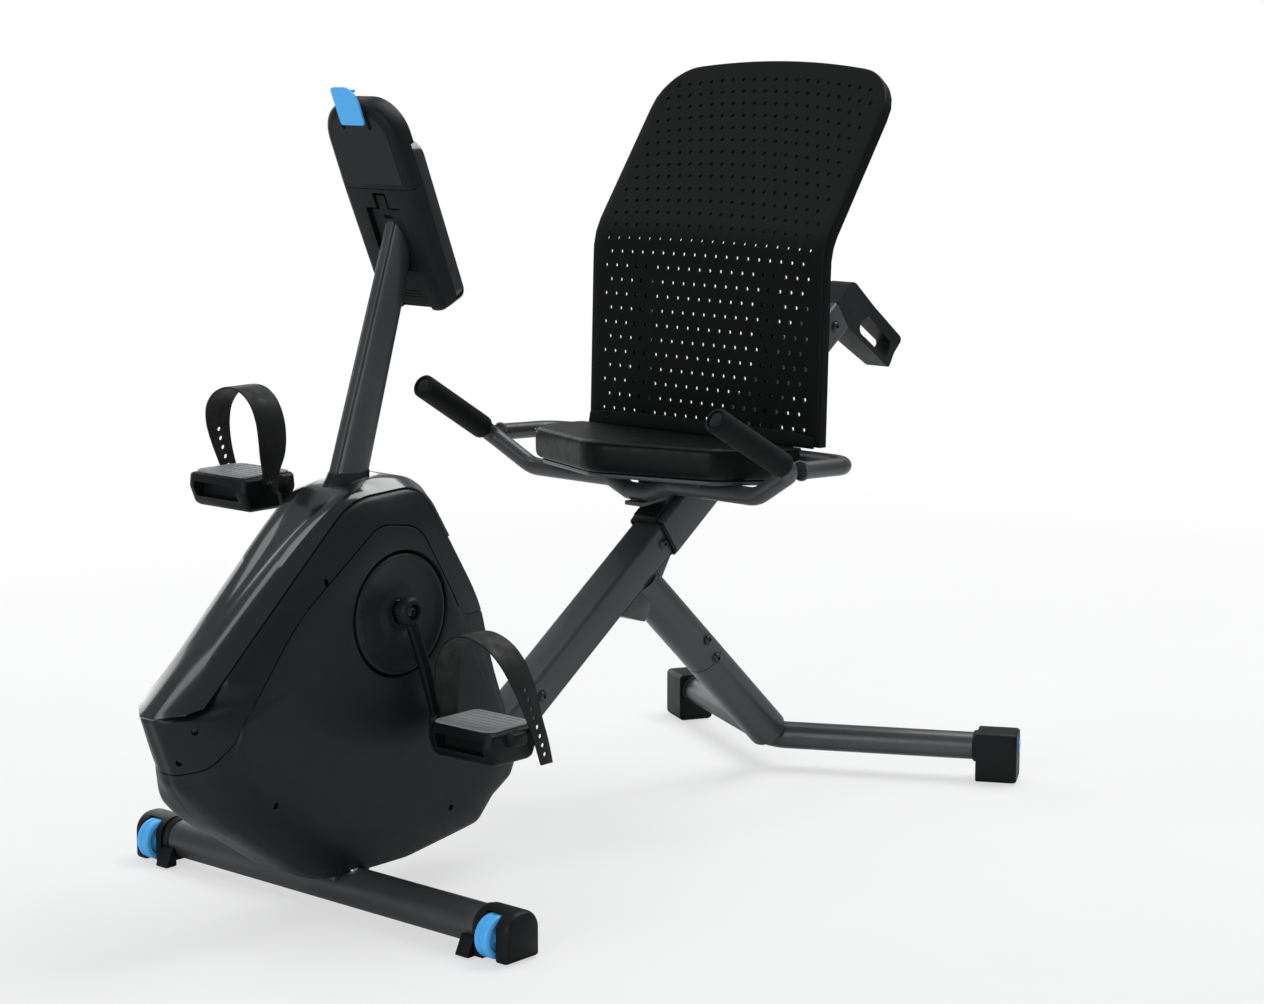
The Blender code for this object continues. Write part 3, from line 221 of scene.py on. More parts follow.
def skin(rings, closed=False, caps=True, wrap=True):
    """Faces between equally long rings of points."""
    made = bmesh.new()
    rows = [[made.verts.new(point) for point in ring] for ring in rings]
    size = len(rows[0])
    pairs = list(zip(rows, rows[1:]))
    if closed:
        pairs.append((rows[-1], rows[0]))
    for low, high in pairs:
        for i in range(size if wrap else size - 1):
            j = (i + 1) % size
            made.faces.new((low[i], low[j], high[j], high[i]))
    if caps and not closed:
        made.faces.new(list(reversed(rows[0])))
        made.faces.new(rows[-1])
    return made


def tube(path, radius, sides=32, end=0.0):
    """Round bar along a path, with rounded ends of a given depth."""
    frames = path_frames(path)
    rings = [[point + side * a + up * b for a, b in circle(radius, sides)]
             for point, (side, up) in zip(path, frames)]
    if end > 0.0:
        first = (path[0] - path[1]).normalized()
        last = (path[-1] - path[-2]).normalized()
        for tip, way, (side, up), front in ((path[0], first, frames[0], True),
                                            (path[-1], last, frames[-1], False)):
            extra = []
            for angle in (25.0, 50.0, 72.0, 85.0):
                small = radius - end + end * math.cos(math.radians(angle))
                point = tip + way * end * math.sin(math.radians(angle))
                extra.append([point + side * a + up * b for a, b in circle(small, sides)])
            rings = extra[::-1] + rings if front else rings + extra
    return skin(rings)


def turned(profile, centre, axis, sides=64):
    """Body of revolution; the closed profile holds (reach along the axis, radius) pairs."""
    axis, side, up = cross_directions(axis)
    return skin([[Vector(centre) + axis * reach + (side * a + up * b) * r for reach, r in profile]
                 for a, b in circle(1.0, sides)], closed=True)


def solid_turned(profile, centre, axis, sides=64):
    """Body of revolution that reaches its own axis; the open profile runs from end to end."""
    axis, side, up = cross_directions(axis)
    return skin([[Vector(centre) + axis * reach + (side * a + up * b) * r for a, b in circle(1.0, sides)]
                 for reach, r in profile])


def mirrored(profile, sign):
    """Profile along X for the left or the right side."""
    return [(sign * x, r) for x, r in profile]


def prism(outline, low, high, place):
    """Outline extruded between two depths; place turns (a, b, depth) into a point."""
    return skin([[place(a, b, depth) for a, b in outline] for depth in (low, high)])


def across_bike(a, b, depth):
    """Outline in the YZ plane, with the depth along X."""
    return Vector((depth, a, b))


def beam_prism(corners, half):
    """Prism across the bike over corners given as points."""
    return prism([(p.y, p.z) for p in corners], -half, half, across_bike)


def joined(parts):
    """Several meshes as one."""
    made = bmesh.new()
    for part in parts:
        mesh = bpy.data.meshes.new("part")
        part.to_mesh(mesh)
        part.free()
        made.from_mesh(mesh)
        bpy.data.meshes.remove(mesh)
    return made


def plain_object(name, made):
    """Mesh object without a material or a body."""
    bmesh.ops.recalc_face_normals(made, faces=made.faces)
    mesh = bpy.data.meshes.new(name)
    made.to_mesh(mesh)
    made.free()
    item = bpy.data.objects.new(name, mesh)
    bpy.context.scene.collection.objects.link(item)
    return item


def taken_out(item):
    """An object's mesh on its own; the object is removed."""
    made = bmesh.new()
    made.from_mesh(item.data)
    bpy.data.objects.remove(item, do_unlink=True)
    return made


def bake_modifiers(item):
    """Turn an object's modifiers into its mesh."""
    bpy.context.view_layer.update()
    shaped = item.evaluated_get(bpy.context.evaluated_depsgraph_get())
    mesh = bpy.data.meshes.new_from_object(shaped)
    old = item.data
    item.modifiers.clear()
    item.data = mesh
    bpy.data.meshes.remove(old)


def cut(item, tools, operation="DIFFERENCE"):
    """Exact Boolean with each tool mesh in turn."""
    for made in tools:
        tool = plain_object("tool", made)
        step = item.modifiers.new("cut", "BOOLEAN")
        step.operation = operation
        step.solver = "EXACT"
        step.object = tool
        bake_modifiers(item)
        bpy.data.objects.remove(tool, do_unlink=True)
    return item


def soften(item, width, segments=3, angle=30.0):
    """Rounded edges that catch the light."""
    bevel = item.modifiers.new("edges", "BEVEL")
    bevel.width = width
    bevel.segments = segments
    bevel.limit_method = "ANGLE"
    bevel.angle_limit = math.radians(angle)
    bevel.harden_normals = True
    bevel.use_clamp_overlap = True
    return item


def piece(name, made, material, body, replaced=(), edge=0.0, segments=3, angle=30.0, tools=(), sharp=40.0):
    """Finished piece: smooth shaded, with soft edges, riding on its body."""
    item = made if isinstance(made, bpy.types.Object) else plain_object(name, made)
    item.name = name
    cut(item, tools)
    item.data.shade_smooth()
    if edge > 0.0:
        soften(item, edge, segments, angle)
    else:
        item.data.set_sharp_from_angle(angle=math.radians(sharp))
    item.data.materials.clear()
    item.data.materials.append(material)
    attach(item, body)
    if replaced:
        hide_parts(*replaced)
    return item


# ---------------------------------------------------------------- materials
def add_node(tree, kind, **values):
    """Shader node with its inputs or properties set."""
    node = tree.nodes.new(kind)
    for key, value in values.items():
        if hasattr(node, key):
            setattr(node, key, value)
        else:
            node.inputs[key.replace("_", " ")].default_value = value
    return node


def wire(tree, source, output, target, socket):
    """Link an output of one node to an input of another."""
    tree.links.new(source.outputs[output], target.inputs[socket])


def surface(name, colour, roughness, metallic=0.0, coat=0.0, coat_roughness=0.03, shade=0.25, spread=7.0,
            grain=1400.0, depth=0.00003, cells=False, rough_spread=0.04, specular=0.26, sheen=0.0, edge_highlight_and_wear=0.0):
    """Moulded, painted or cast finish.

    Colour drifts slowly over the surface, roughness varies at hand scale, a fine grain gives the
    bump, and a painted highlight, which also stands for rubbed wear, lightens the convex edges.
    """
    material = bpy.data.materials.new(name)
    material.use_nodes = True
    tree = material.node_tree
    shader = tree.nodes["Principled BSDF"]
    shader.inputs["Metallic"].default_value = metallic
    shader.inputs["Specular IOR Level"].default_value = specular
    shader.inputs["Coat Weight"].default_value = coat
    shader.inputs["Coat Roughness"].default_value = coat_roughness
    shader.inputs["Sheen Weight"].default_value = sheen
    place = add_node(tree, "ShaderNodeTexCoord")
    drift = add_node(tree, "ShaderNodeTexNoise", Scale=spread, Detail=4.0, Roughness=0.55)
    wire(tree, place, "Object", drift, "Vector")
    ramp = add_node(tree, "ShaderNodeValToRGB")
    ramp.color_ramp.elements[0].position = 0.30
    ramp.color_ramp.elements[1].position = 0.72
    ramp.color_ramp.elements[0].color = (*[c * (1.0 - shade) for c in colour], 1.0)
    ramp.color_ramp.elements[1].color = (*[c * (1.0 + shade) for c in colour], 1.0)
    wire(tree, drift, "Fac", ramp, "Fac")
    colour_socket = ramp.outputs["Color"]
    # painted highlight: convex edges (pointiness) are lightened, standing for light catching the edges as well as
    # for wear
    if edge_highlight_and_wear > 0.0:
        geometry = add_node(tree, "ShaderNodeNewGeometry")
        edges = add_node(tree, "ShaderNodeMapRange", From_Min=0.53, From_Max=0.62, To_Max=edge_highlight_and_wear)
        mix = add_node(tree, "ShaderNodeMix", data_type="RGBA")
        wire(tree, geometry, "Pointiness", edges, "Value")
        wire(tree, edges, "Result", mix, "Factor")
        tree.links.new(colour_socket, mix.inputs[6])
        mix.inputs[7].default_value = (*[c * 2.0 + 0.05 for c in colour], 1.0)
        colour_socket = mix.outputs[2]
    tree.links.new(colour_socket, shader.inputs["Base Color"])
    patches = add_node(tree, "ShaderNodeTexNoise", Scale=spread * 9.0, Detail=3.0)
    polish = add_node(tree, "ShaderNodeMapRange", From_Min=0.3, From_Max=0.7,
                      To_Min=max(roughness - rough_spread, 0.02), To_Max=roughness + rough_spread)
    wire(tree, place, "Object", patches, "Vector")
    wire(tree, patches, "Fac", polish, "Value")
    wire(tree, polish, "Result", shader, "Roughness")
    bump = add_node(tree, "ShaderNodeBump", Strength=1.0, Distance=depth)
    if cells:
        fine = add_node(tree, "ShaderNodeTexVoronoi", Scale=grain, feature="SMOOTH_F1")
        height = fine.outputs["Distance"]
    else:
        fine = add_node(tree, "ShaderNodeTexNoise", Scale=grain, Detail=2.0)
        height = fine.outputs["Fac"]
    wire(tree, place, "Object", fine, "Vector")
    tree.links.new(height, bump.inputs["Height"])
    wire(tree, bump, "Normal", shader, "Normal")
    return material


CHARCOAL = (0.0070, 0.0086, 0.0094)
DARK_GREY = (0.0660, 0.0700, 0.0730)

# the edge_highlight_and_wear values set the strength of a painted highlight on convex edges, which also stands for
# wear
STEEL = surface("powder_coated_steel", DARK_GREY, 0.34, metallic=0.45, specular=0.40, shade=0.12,
                grain=900.0, depth=0.00004, edge_highlight_and_wear=0.25)
SHELL = surface("textured_shell_plastic", CHARCOAL, 0.46, shade=0.10, grain=1700.0, depth=0.00002, cells=True,
                edge_highlight_and_wear=0.10)
TRIM = surface("satin_trim_plastic", (0.0070, 0.0085, 0.0094), 0.36, shade=0.10, grain=1500.0, depth=0.000012)
GLOSS = surface("gloss_cover_plastic", (0.0060, 0.0070, 0.0080), 0.20, coat=0.8, coat_roughness=0.10,
                shade=0.10, grain=220.0, depth=0.0000015, rough_spread=0.03)
MOULDED = surface("moulded_black_plastic", (0.0048, 0.0056, 0.0061), 0.50, shade=0.15, grain=1100.0,
                  depth=0.00004, cells=True, specular=0.19, edge_highlight_and_wear=0.10)
RUBBER = surface("rubber", (0.0055, 0.0058, 0.0062), 0.62, shade=0.18, grain=1300.0, depth=0.00005,
                 rough_spread=0.12, sheen=0.05)
FOAM = surface("foam_grip", (0.0030, 0.0037, 0.0040), 0.72, shade=0.18, grain=620.0, depth=0.00022,
               cells=True, specular=0.15, sheen=0.02)
BLUE = surface("blue_plastic", (0.0900, 0.4700, 0.9600), 0.34, shade=0.06, grain=1200.0, depth=0.00002)
BLACK_STEEL = surface("black_oxide_steel", (0.0600, 0.0620, 0.0650), 0.34, metallic=0.9, shade=0.25,
                      spread=30.0, grain=1600.0, depth=0.00002, edge_highlight_and_wear=0.4)
BRIGHT_STEEL = surface("bare_steel", (0.4200, 0.4200, 0.4300), 0.26, metallic=1.0, shade=0.12, spread=25.0,
                       grain=1500.0, depth=0.00002)
IRON = surface("cast_iron", (0.1000, 0.1000, 0.1050), 0.55, metallic=0.9, shade=0.25, spread=40.0,
               grain=500.0, depth=0.00012)
VINYL = surface("grained_vinyl", (0.0026, 0.0031, 0.0035), 0.42, shade=0.15, grain=900.0, depth=0.00006,
                cells=True, rough_spread=0.05, specular=0.15)
PANEL = surface("coated_back_panel", (0.0026, 0.0030, 0.0033), 0.50, specular=0.12, shade=0.15,
                grain=700.0, depth=0.00008, cells=True)
TREAD = surface("grey_tread", (0.2600, 0.2650, 0.2700), 0.55, shade=0.15, grain=480.0, depth=0.00025,
                cells=True)
GLASS = surface("screen_glass", (0.0100, 0.0120, 0.0140), 0.08, coat=1.0, shade=0.10, grain=60.0,
                depth=0.000004, rough_spread=0.03)
LCD = surface("display_film", (0.1500, 0.1750, 0.1600), 0.30, shade=0.08, grain=900.0, depth=0.00001)

NODE_FINISH = {
    "drive_belt": RUBBER, "drive_pulley": MOULDED, "flywheel": IRON, "flywheel_pulley": BRIGHT_STEEL,
    "flywheel_axle": BRIGHT_STEEL, "flywheel_fork": STEEL, "magnet_brake": BRIGHT_STEEL, "main_frame": STEEL,
    "crank_bearing_left": BRIGHT_STEEL, "crank_bearing_right": BRIGHT_STEEL,
}
SLOT_FINISH = {
    "steel": STEEL, "dark_plastic": MOULDED, "gloss_plastic": GLOSS, "rubber": RUBBER, "blue_plastic": BLUE,
    "bare_steel": BLACK_STEEL, "cast_iron": IRON, "cushion": VINYL, "screen": GLASS,
}

MATERIAL_SLOT = {finish.name: slot for slot, finish in SLOT_FINISH.items()}
MATERIAL_SLOT.update({SHELL.name: "dark_plastic", TRIM.name: "dark_plastic", PANEL.name: "dark_plastic",
                      TREAD.name: "dark_plastic", BRIGHT_STEEL.name: "bare_steel", FOAM.name: "rubber",
                      LCD.name: "screen"})


def finish_cad_nodes():
    """Procedural finish on every CAD node that stays in view."""
    slots = {entry["node"]: entry["material_slot"] for entry in frame["record"]["subparts"]}
    for name, node in frame["nodes"].items():
        material = NODE_FINISH.get(name) or SLOT_FINISH.get(slots.get(name), STEEL)
        node.data.materials.clear()
        node.data.materials.append(material)


# ---------------------------------------------------------------- housing
SHELL_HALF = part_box("shroud_left")[1].x
RIM_HALF = 0.0525               # half width of the gloss cover at its lower edge
SEAM = 0.0008                   # half of the gap between two housing parts
SEAM_RADIUS = 0.27              # reach that turns a distance along the seam into an angle
WALL = 0.0026
HUB = Vector((CRANK.y - 0.027, CRANK.z - 0.085))     # middle that the housing's outlines turn round
DISH = Vector((CRANK.y + 0.002, CRANK.z - 0.006))
DISH_R = 0.0800

# Outer outline in side view (Y, Z, corner radius): nose edge, ledge under the gloss cover, straight
# front, dome, back, tail, underside and chin.
CASING = [(-0.7350, 0.2880, 0.003), (-0.6935, 0.3005, 0.004), (-0.4560, 0.5180, 0.095),
          (-0.3330, 0.5230, 0.065), (-0.2350, 0.3660, 0.300), (-0.1560, 0.1380, 0.012),
          (-0.1680, 0.1130, 0.010), (-0.2050, 0.0920, 0.014), (-0.2300, 0.0620, 0.022),
          (-0.3600, 0.0420, 0.150), (-0.5150, 0.0420, 0.150), (-0.6640, 0.1480, 0.120),
          (-0.7080, 0.2170, 0.008)]
# Edge of the flat side field; its front and top follow the seam.
FIELD = [(-0.4240, 0.4860, 0.045), (-0.5600, 0.3880, 0.300), (-0.6560, 0.2660, 0.040),
         (-0.6300, 0.2060, 0.060), (-0.5450, 0.1250, 0.100), (-0.4260, 0.1000, 0.100),
         (-0.2850, 0.1060, 0.060), (-0.2080, 0.1500, 0.050), (-0.2280, 0.2300, 0.100),
         (-0.2960, 0.3780, 0.200), (-0.3560, 0.4760, 0.050)]
# Sections from the centre line to the field: half width in metres, then share of the way from the
# outer outline to the field, for the band, the nose and the underside.
SECTIONS = [(0.0000, 0.000, 0.000, 0.000), (0.0130, 0.000, 0.004, 0.004), (0.0300, 0.000, 0.130, 0.020),
            (0.0450, 0.004, 0.300, 0.095), (0.0515, 0.030, 0.420, 0.180), (0.0560, 0.100, 0.520, 0.260),
            (0.0600, 0.270, 0.640, 0.370), (0.0650, 0.570, 0.800, 0.580), (0.0683, 0.820, 0.910, 0.780),
            (0.0700, 1.000, 1.000, 1.000)]
SEAM_FRONT = 180.0              # degrees round the hub where the seam leaves the field's edge
SEAM_FRONT_SWEEP = 14.3
SEAM_REAR = 29.0
SEAM_REAR_SWEEP = 14.0
CHIN_LIP = 0.0045               # how far the shells stand proud of the chin
TURN_STEPS = 260
BACK_STEPS = 90


def polar_outline(corners):
    """Angles in degrees and radii of an outline round the hub, ready to interpolate."""
    points = outline_2d(corners, 10)
    dense = []
    for (a, b), (c, d) in zip(points, points[1:] + points[:1]):
        count = max(int(math.hypot(c - a, d - b) / 0.004), 1)
        dense += [(a + (c - a) * i / count, b + (d - b) * i / count) for i in range(count)]
    pairs = sorted((math.degrees(math.atan2(z - HUB.y, y - HUB.x)) % 360.0,
                    math.hypot(z - HUB.y, y - HUB.x)) for y, z in dense)
    return np.array(pairs)


CASING_POLAR = polar_outline(CASING)
FIELD_POLAR = polar_outline(FIELD)
PROFILE = np.array(spline(SECTIONS, 4))


def radius_at(table, angle):
    """Radius of a polar outline at an angle in degrees."""
    return float(np.interp(angle % 360.0, table[:, 0], table[:, 1], period=360.0))


def section_weights(angle):
    """Shares of the band, nose and underside sections at an angle."""
    turn = (angle - 90.0) % 360.0 + 90.0
    nose = smoothstep(170.0, 177.5, turn) * (1.0 - smoothstep(194.0, 206.0, turn))
    under = smoothstep(194.0, 214.0, turn) * (1.0 - smoothstep(350.0, 382.0, turn))
    return max(1.0 - nose - under, 0.0), nose, under


def casing_point(angle, level, sign, lip=0.0):
    """Point of the housing's surface; level runs over the rows of the section."""
    row = PROFILE[min(int(level), len(PROFILE) - 1)]
    after = PROFILE[min(int(level) + 1, len(PROFILE) - 1)]
    x, *shares = row + (after - row) * (level - int(level))
    weights = section_weights(angle)
    share = sum(w * s for w, s in zip(weights, shares)) / sum(weights)
    outer = radius_at(CASING_POLAR, angle)
    reach = outer + (radius_at(FIELD_POLAR, angle) - outer) * share + lip * (1.0 - 0.6 * share)
    turn = math.radians(angle)
    return Vector((sign * (x + lip * 0.55 * share), HUB.x + reach * math.cos(turn),
                   HUB.y + reach * math.sin(turn)))


LEVELS = len(PROFILE) - 1
SCREW_R = 0.0042
BAND_SCREW = (124.5, LEVELS - 3.0)
SHELL_SCREWS = ((301.5, LEVELS), (214.0, LEVELS - 2.0))
CHIN_SCREWS = ((183.2, 12.5), (191.0, 6.5), BAND_SCREW)


def seam_bow(level):
    """How far the seam has left the field's edge: 0 at the edge, 1 at the centre line."""
    share = level / LEVELS
    return math.sqrt(max(1.0 - share * share, 0.0))


def make_fairing():
    """Band round the front and top of the housing with the chin, as one wide part."""
    rows = []
    margin = math.degrees(SEAM / SEAM_RADIUS)
    top = LEVELS - 0.12
    for sign in (-1, 1):
        side = []
        for level in [i * top / LEVELS for i in range(LEVELS + 1)]:
            start = SEAM_REAR - SEAM_REAR_SWEEP * seam_bow(level) + margin
            finish = SEAM_FRONT + SEAM_FRONT_SWEEP * seam_bow(level) - margin
            side.append([casing_point(start + (finish - start) * i / TURN_STEPS, level, sign)
                         for i in range(TURN_STEPS + 1)])
        rows += side[::-1] if sign < 0 else side[1:]
    made = skin(rows, caps=False, wrap=False)
    item = thickened("fairing", made)
    tools = [mast_tool(0.0012)]
    for turn, level in CHIN_SCREWS:
        tools += [screw_recess(turn, level, sign) for sign in (1, -1)]
    cut(item, tools)
    piece("fairing", item, TRIM, "base", ("nose_plate",), edge=0.0006, angle=50.0)


def thickened(name, made):
    """Closed wall from an open outer surface."""
    bmesh.ops.remove_doubles(made, verts=made.verts, dist=0.00002)
    bmesh.ops.recalc_face_normals(made, faces=made.faces)
    item = plain_object(name, made)
    middle = sum((f.normal.dot(f.center - Vector((0.0, HUB.x, HUB.y))) for f in item.data.polygons))
    if middle < 0.0:
        item.data.flip_normals()
    wall = item.modifiers.new("wall", "SOLIDIFY")
    wall.thickness = WALL
    wall.offset = -1.0
    wall.use_even_offset = False
    bake_modifiers(item)
    return item


def shell_lip(angle, level):
    """Height of the shells' step below the chin."""
    turn = (angle - 90.0) % 360.0 + 90.0
    past = math.radians(turn - SEAM_FRONT - SEAM_FRONT_SWEEP * seam_bow(level)) * SEAM_RADIUS
    if past < 0.0 or turn > 300.0:
        return 0.0
    return CHIN_LIP * smoothstep(0.0, 0.017, past) * (1.0 - smoothstep(0.030, 0.150, past))


def make_shell(sign, side):
    """One side shell: wrap under the seam, flat field and the edge of the crank dish."""
    margin = math.degrees(SEAM / SEAM_RADIUS)
    wrap = []
    for level in range(LEVELS + 1):
        start = SEAM_FRONT + SEAM_FRONT_SWEEP * seam_bow(level) + margin
        finish = 360.0 + SEAM_REAR - SEAM_REAR_SWEEP * seam_bow(level) - margin
        wrap.append([casing_point(start + (finish - start) * i / TURN_STEPS, level, sign,
                                  shell_lip(start + (finish - start) * i / TURN_STEPS, level))
                     for i in range(TURN_STEPS + 1)])
    for point in wrap[0]:
        point.x = sign * 0.0002
    start, finish = 360.0 + SEAM_REAR - margin, 540.0 + margin
    edge = list(wrap[-1])
    for i in range(1, BACK_STEPS):
        angle = start + (finish - start) * i / BACK_STEPS
        point = casing_point(angle, LEVELS, sign)
        centre = Vector((point.x, HUB.x, HUB.y))
        edge.append(centre + (point - centre) * (1.0 - 2.0 * SEAM / (point - centre).length))
    field = [edge]
    for share, lift in ((0.03, 0.0005), (0.10, 0.0010), (0.25, 0.0018), (0.45, 0.0022), (0.65, 0.0022),
                        (0.82, 0.0018), (0.93, 0.0014), (0.985, 0.0010), (1.0, 0.0004)):
        ring = []
        for point in edge:
            flat = Vector((point.y, point.z)) - DISH
            target = DISH + flat.normalized() * DISH_R
            mixed = Vector((point.y, point.z)).lerp(target, share)
            x = abs(point.x) + (SHELL_HALF - abs(point.x)) * smoothstep(0.0, 0.4, share) + lift
            ring.append(Vector((sign * x, mixed.x, mixed.y)))
        field.append(ring)
    for drop, radius in ((0.0012, DISH_R - 0.0008), (0.0050, DISH_R - 0.0014), (0.0090, DISH_R - 0.0016)):
        ring = []
        for point in edge:
            flat = (Vector((point.y, point.z)) - DISH).normalized() * radius + DISH
            ring.append(Vector((sign * (SHELL_HALF - drop), flat.x, flat.y)))
        field.append(ring)
    made = joined([skin(wrap, caps=False, wrap=False), skin(field, caps=False)])
    item = thickened("shell_" + side, made)
    tools = [beam_tool(0.0020), mast_tool(0.0012), saddle_tool(), cross_tube_tool()]
    tools += [screw_recess(turn, level, sign) for turn, level in SHELL_SCREWS]
    cut(item, tools)
    piece("shell_" + side, item, SHELL, "base", ("shroud_" + side,), edge=0.0007, angle=50.0)


def beam_tool(clear):
    """Room for the beam where it enters the shells."""
    half = BEAM_HALF + clear
    return skin([[along_beam(d, b, a) for a, b in rectangle(half, half, 0.006, 3)] for d in (-0.33, -0.02)])


def saddle_tool():
    """Notch over the saddle of the front cross tube."""
    outline = outline_2d([(STABILISER.y - 0.031, -0.010, 0.0), (STABILISER.y + 0.031, -0.010, 0.0),
                          (STABILISER.y + 0.031, 0.0692, 0.006), (STABILISER.y - 0.031, 0.0692, 0.006)], 5)
    return prism(outline, -0.0465, 0.0465, across_bike)


def cross_tube_tool():
    """Room for the front cross tube."""
    return solid_turned([(-0.095, STABILISER_R + 0.0020), (0.095, STABILISER_R + 0.0020)], STABILISER, LEFT)


def screw_frame(turn, level, sign):
    """Surface point and outward normal for a housing screw."""
    here = casing_point(turn, level, sign)
    ahead = casing_point(turn + 0.6, level, sign) - here
    lower = min(level + 0.6, LEVELS)
    across = casing_point(turn, lower, sign) - casing_point(turn, lower - 0.6, sign)
    normal = ahead.cross(across).normalized()
    outward = Vector((sign, 0.0, 0.0)) * 0.9 + Vector((0.0, here.y - HUB.x, here.z - HUB.y))
    return here, normal if normal.dot(outward) > 0.0 else -normal


def screw_recess(turn, level, sign):
    """Round hole for a screw."""
    here, normal = screw_frame(turn, level, sign)
    return solid_turned([(-0.012, SCREW_R), (0.010, SCREW_R)], here, normal, 24)


def make_housing_screws():
    """Round-headed screws at the bottom of their holes."""
    for sign, side in SIDES:
        parts = []
        for turn, level in SHELL_SCREWS + CHIN_SCREWS:
            here, normal = screw_frame(turn, level, sign)
            profile = [(-0.0120, 0.0014), (-0.0062, 0.0014), (-0.0062, 0.0036), (-0.0048, 0.0036),
                       (-0.0036, 0.0028), (-0.0032, 0.0013), (-0.0046, 0.0009), (-0.0048, 0.0001)]
            parts.append(solid_turned(profile, here, normal, 24))
        piece("housing_screws_" + side, joined(parts), BLACK_STEEL, "base", sharp=35.0)


# Crown line of the gloss cover in side view (Y, Z), nose to back, with the angle round the hub where
# its lower edge lies, half width of the crown, half width of the nose facet and that facet's depth.
CROWN = [(-0.7370, 0.2895, 177.6, 0.0130, 0.0430, 0.56), (-0.7000, 0.3215, 173.2, 0.0105, 0.0330, 0.46),
         (-0.6550, 0.3605, 164.5, 0.0075, 0.0190, 0.30), (-0.6120, 0.3985, 150.5, 0.0055, 0.0075, 0.09),
         (-0.5600, 0.4440, 132.0, 0.0085, 0.0100, 0.07), (-0.5190, 0.4795, 116.5, 0.0150, 0.0165, 0.06),
         (-0.4860, 0.5050, 106.0, 0.0225, 0.0240, 0.06), (-0.4510, 0.5255, 96.4, 0.0290, 0.0305, 0.06),
         (-0.4180, 0.5345, 89.3, 0.0310, 0.0325, 0.06), (-0.3830, 0.5365, 81.1, 0.0315, 0.0330, 0.06),
         (-0.3470, 0.5325, 72.0, 0.0315, 0.0330, 0.07), (-0.3170, 0.5165, 64.0, 0.0315, 0.0330, 0.09),
         (-0.2960, 0.4900, 57.0, 0.0320, 0.0335, 0.12), (-0.2820, 0.4620, 50.5, 0.0330, 0.0345, 0.16)]
COVER_SWELL = 0.0095            # how far the long side faces of the cover bulge


def make_gloss_cover():
    """Faceted gloss cover over the front and the dome."""
    rings = []
    stations = spline(CROWN, 5)
    for index, (y, z, turn, crown, facet, depth) in enumerate(stations):
        swell = COVER_SWELL * math.sin(math.pi * min(index / (0.62 * len(stations)), 1.0))
        reach = radius_at(CASING_POLAR, turn) + 0.0012
        angle = math.radians(turn)
        rim = Vector((HUB.x + reach * math.cos(angle), HUB.y + reach * math.sin(angle)))
        top = Vector((y, z))
        half = [(0.0, 0.0), (crown * 0.5, 0.004), (crown, 0.018), (facet, depth)]
        half += [(facet + (RIM_HALF - facet) * k / 4.0, depth + (1.0 - depth) * k / 4.0) for k in (1, 2, 3)]
        half += [(RIM_HALF, 1.0)]
        out = (top - HUB).normalized()
        line = []
        for x, share in half:
            full = swell * math.sin(math.pi * share)
            line.append((x + full * 0.55, top.lerp(rim, share) + out * full * 0.80))
        ring = [(-x, *point) for x, point in reversed(line)] + [(x, *point) for x, point in line[1:]]
        rings.append(ring)
    item = plain_object("gloss_cover", skin(rings, caps=False, wrap=False))
    if sum(f.normal.z for f in item.data.polygons) < 0.0:
        item.data.flip_normals()
    wall = item.modifiers.new("wall", "SOLIDIFY")
    wall.thickness = WALL
    wall.offset = -1.0
    bake_modifiers(item)
    cut(item, [mast_tool(0.0012)])
    piece("gloss_cover", item, GLOSS, "base", ("front_cover",), edge=0.0009, angle=24.0, sharp=60.0)


def make_crank_covers():
    """Dished disc with a raised ring round each end of the crank axle."""
    for sign, side in SIDES:
        outer = DISH_R - 0.0045
        profile = [(0.0600, 0.0130), (0.0705, 0.0135), (0.0712, 0.0150), (0.0712, 0.0200), (0.0704, 0.0240),
                   (0.0672, 0.0300), (0.0662, 0.0330), (0.0664, 0.0450), (0.0675, outer - 0.016),
                   (0.0688, outer - 0.010), (0.0712, outer - 0.006), (0.0722, outer - 0.0035),
                   (0.0716, outer - 0.0012), (0.0700, outer), (0.0600, outer), (0.0600, outer - 0.004)]
        made = turned(mirrored(profile, sign), Vector((0.0, DISH.x, DISH.y)), LEFT, 96)
        axle_room = solid_turned([(-0.09, 0.0135), (0.09, 0.0135)], Vector((0.0, CRANK.y, CRANK.z)),
                                 LEFT, 48)
        piece("crank_disc_" + side, made, SHELL, "base", ("crank_cover_" + side,),
              tools=[axle_room], sharp=50.0)


# ---------------------------------------------------------------- mast
MAST_SLOPE = math.radians(72.1)
MAST_RUN = Vector((0.0, math.cos(MAST_SLOPE), math.sin(MAST_SLOPE)))
MAST_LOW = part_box("mast")[0]
MAST_HALF_X = 0.0205
MAST_HALF_Y = 0.0285
MAST_FOOT = Vector((0.0, MAST_LOW.y + MAST_HALF_Y / math.sin(MAST_SLOPE), MAST_LOW.z))
MAST_TAPER = 0.440              # length over which it narrows, and by how much
MAST_NARROWS = (0.0040, 0.0075)
MAST_TOP = 0.398


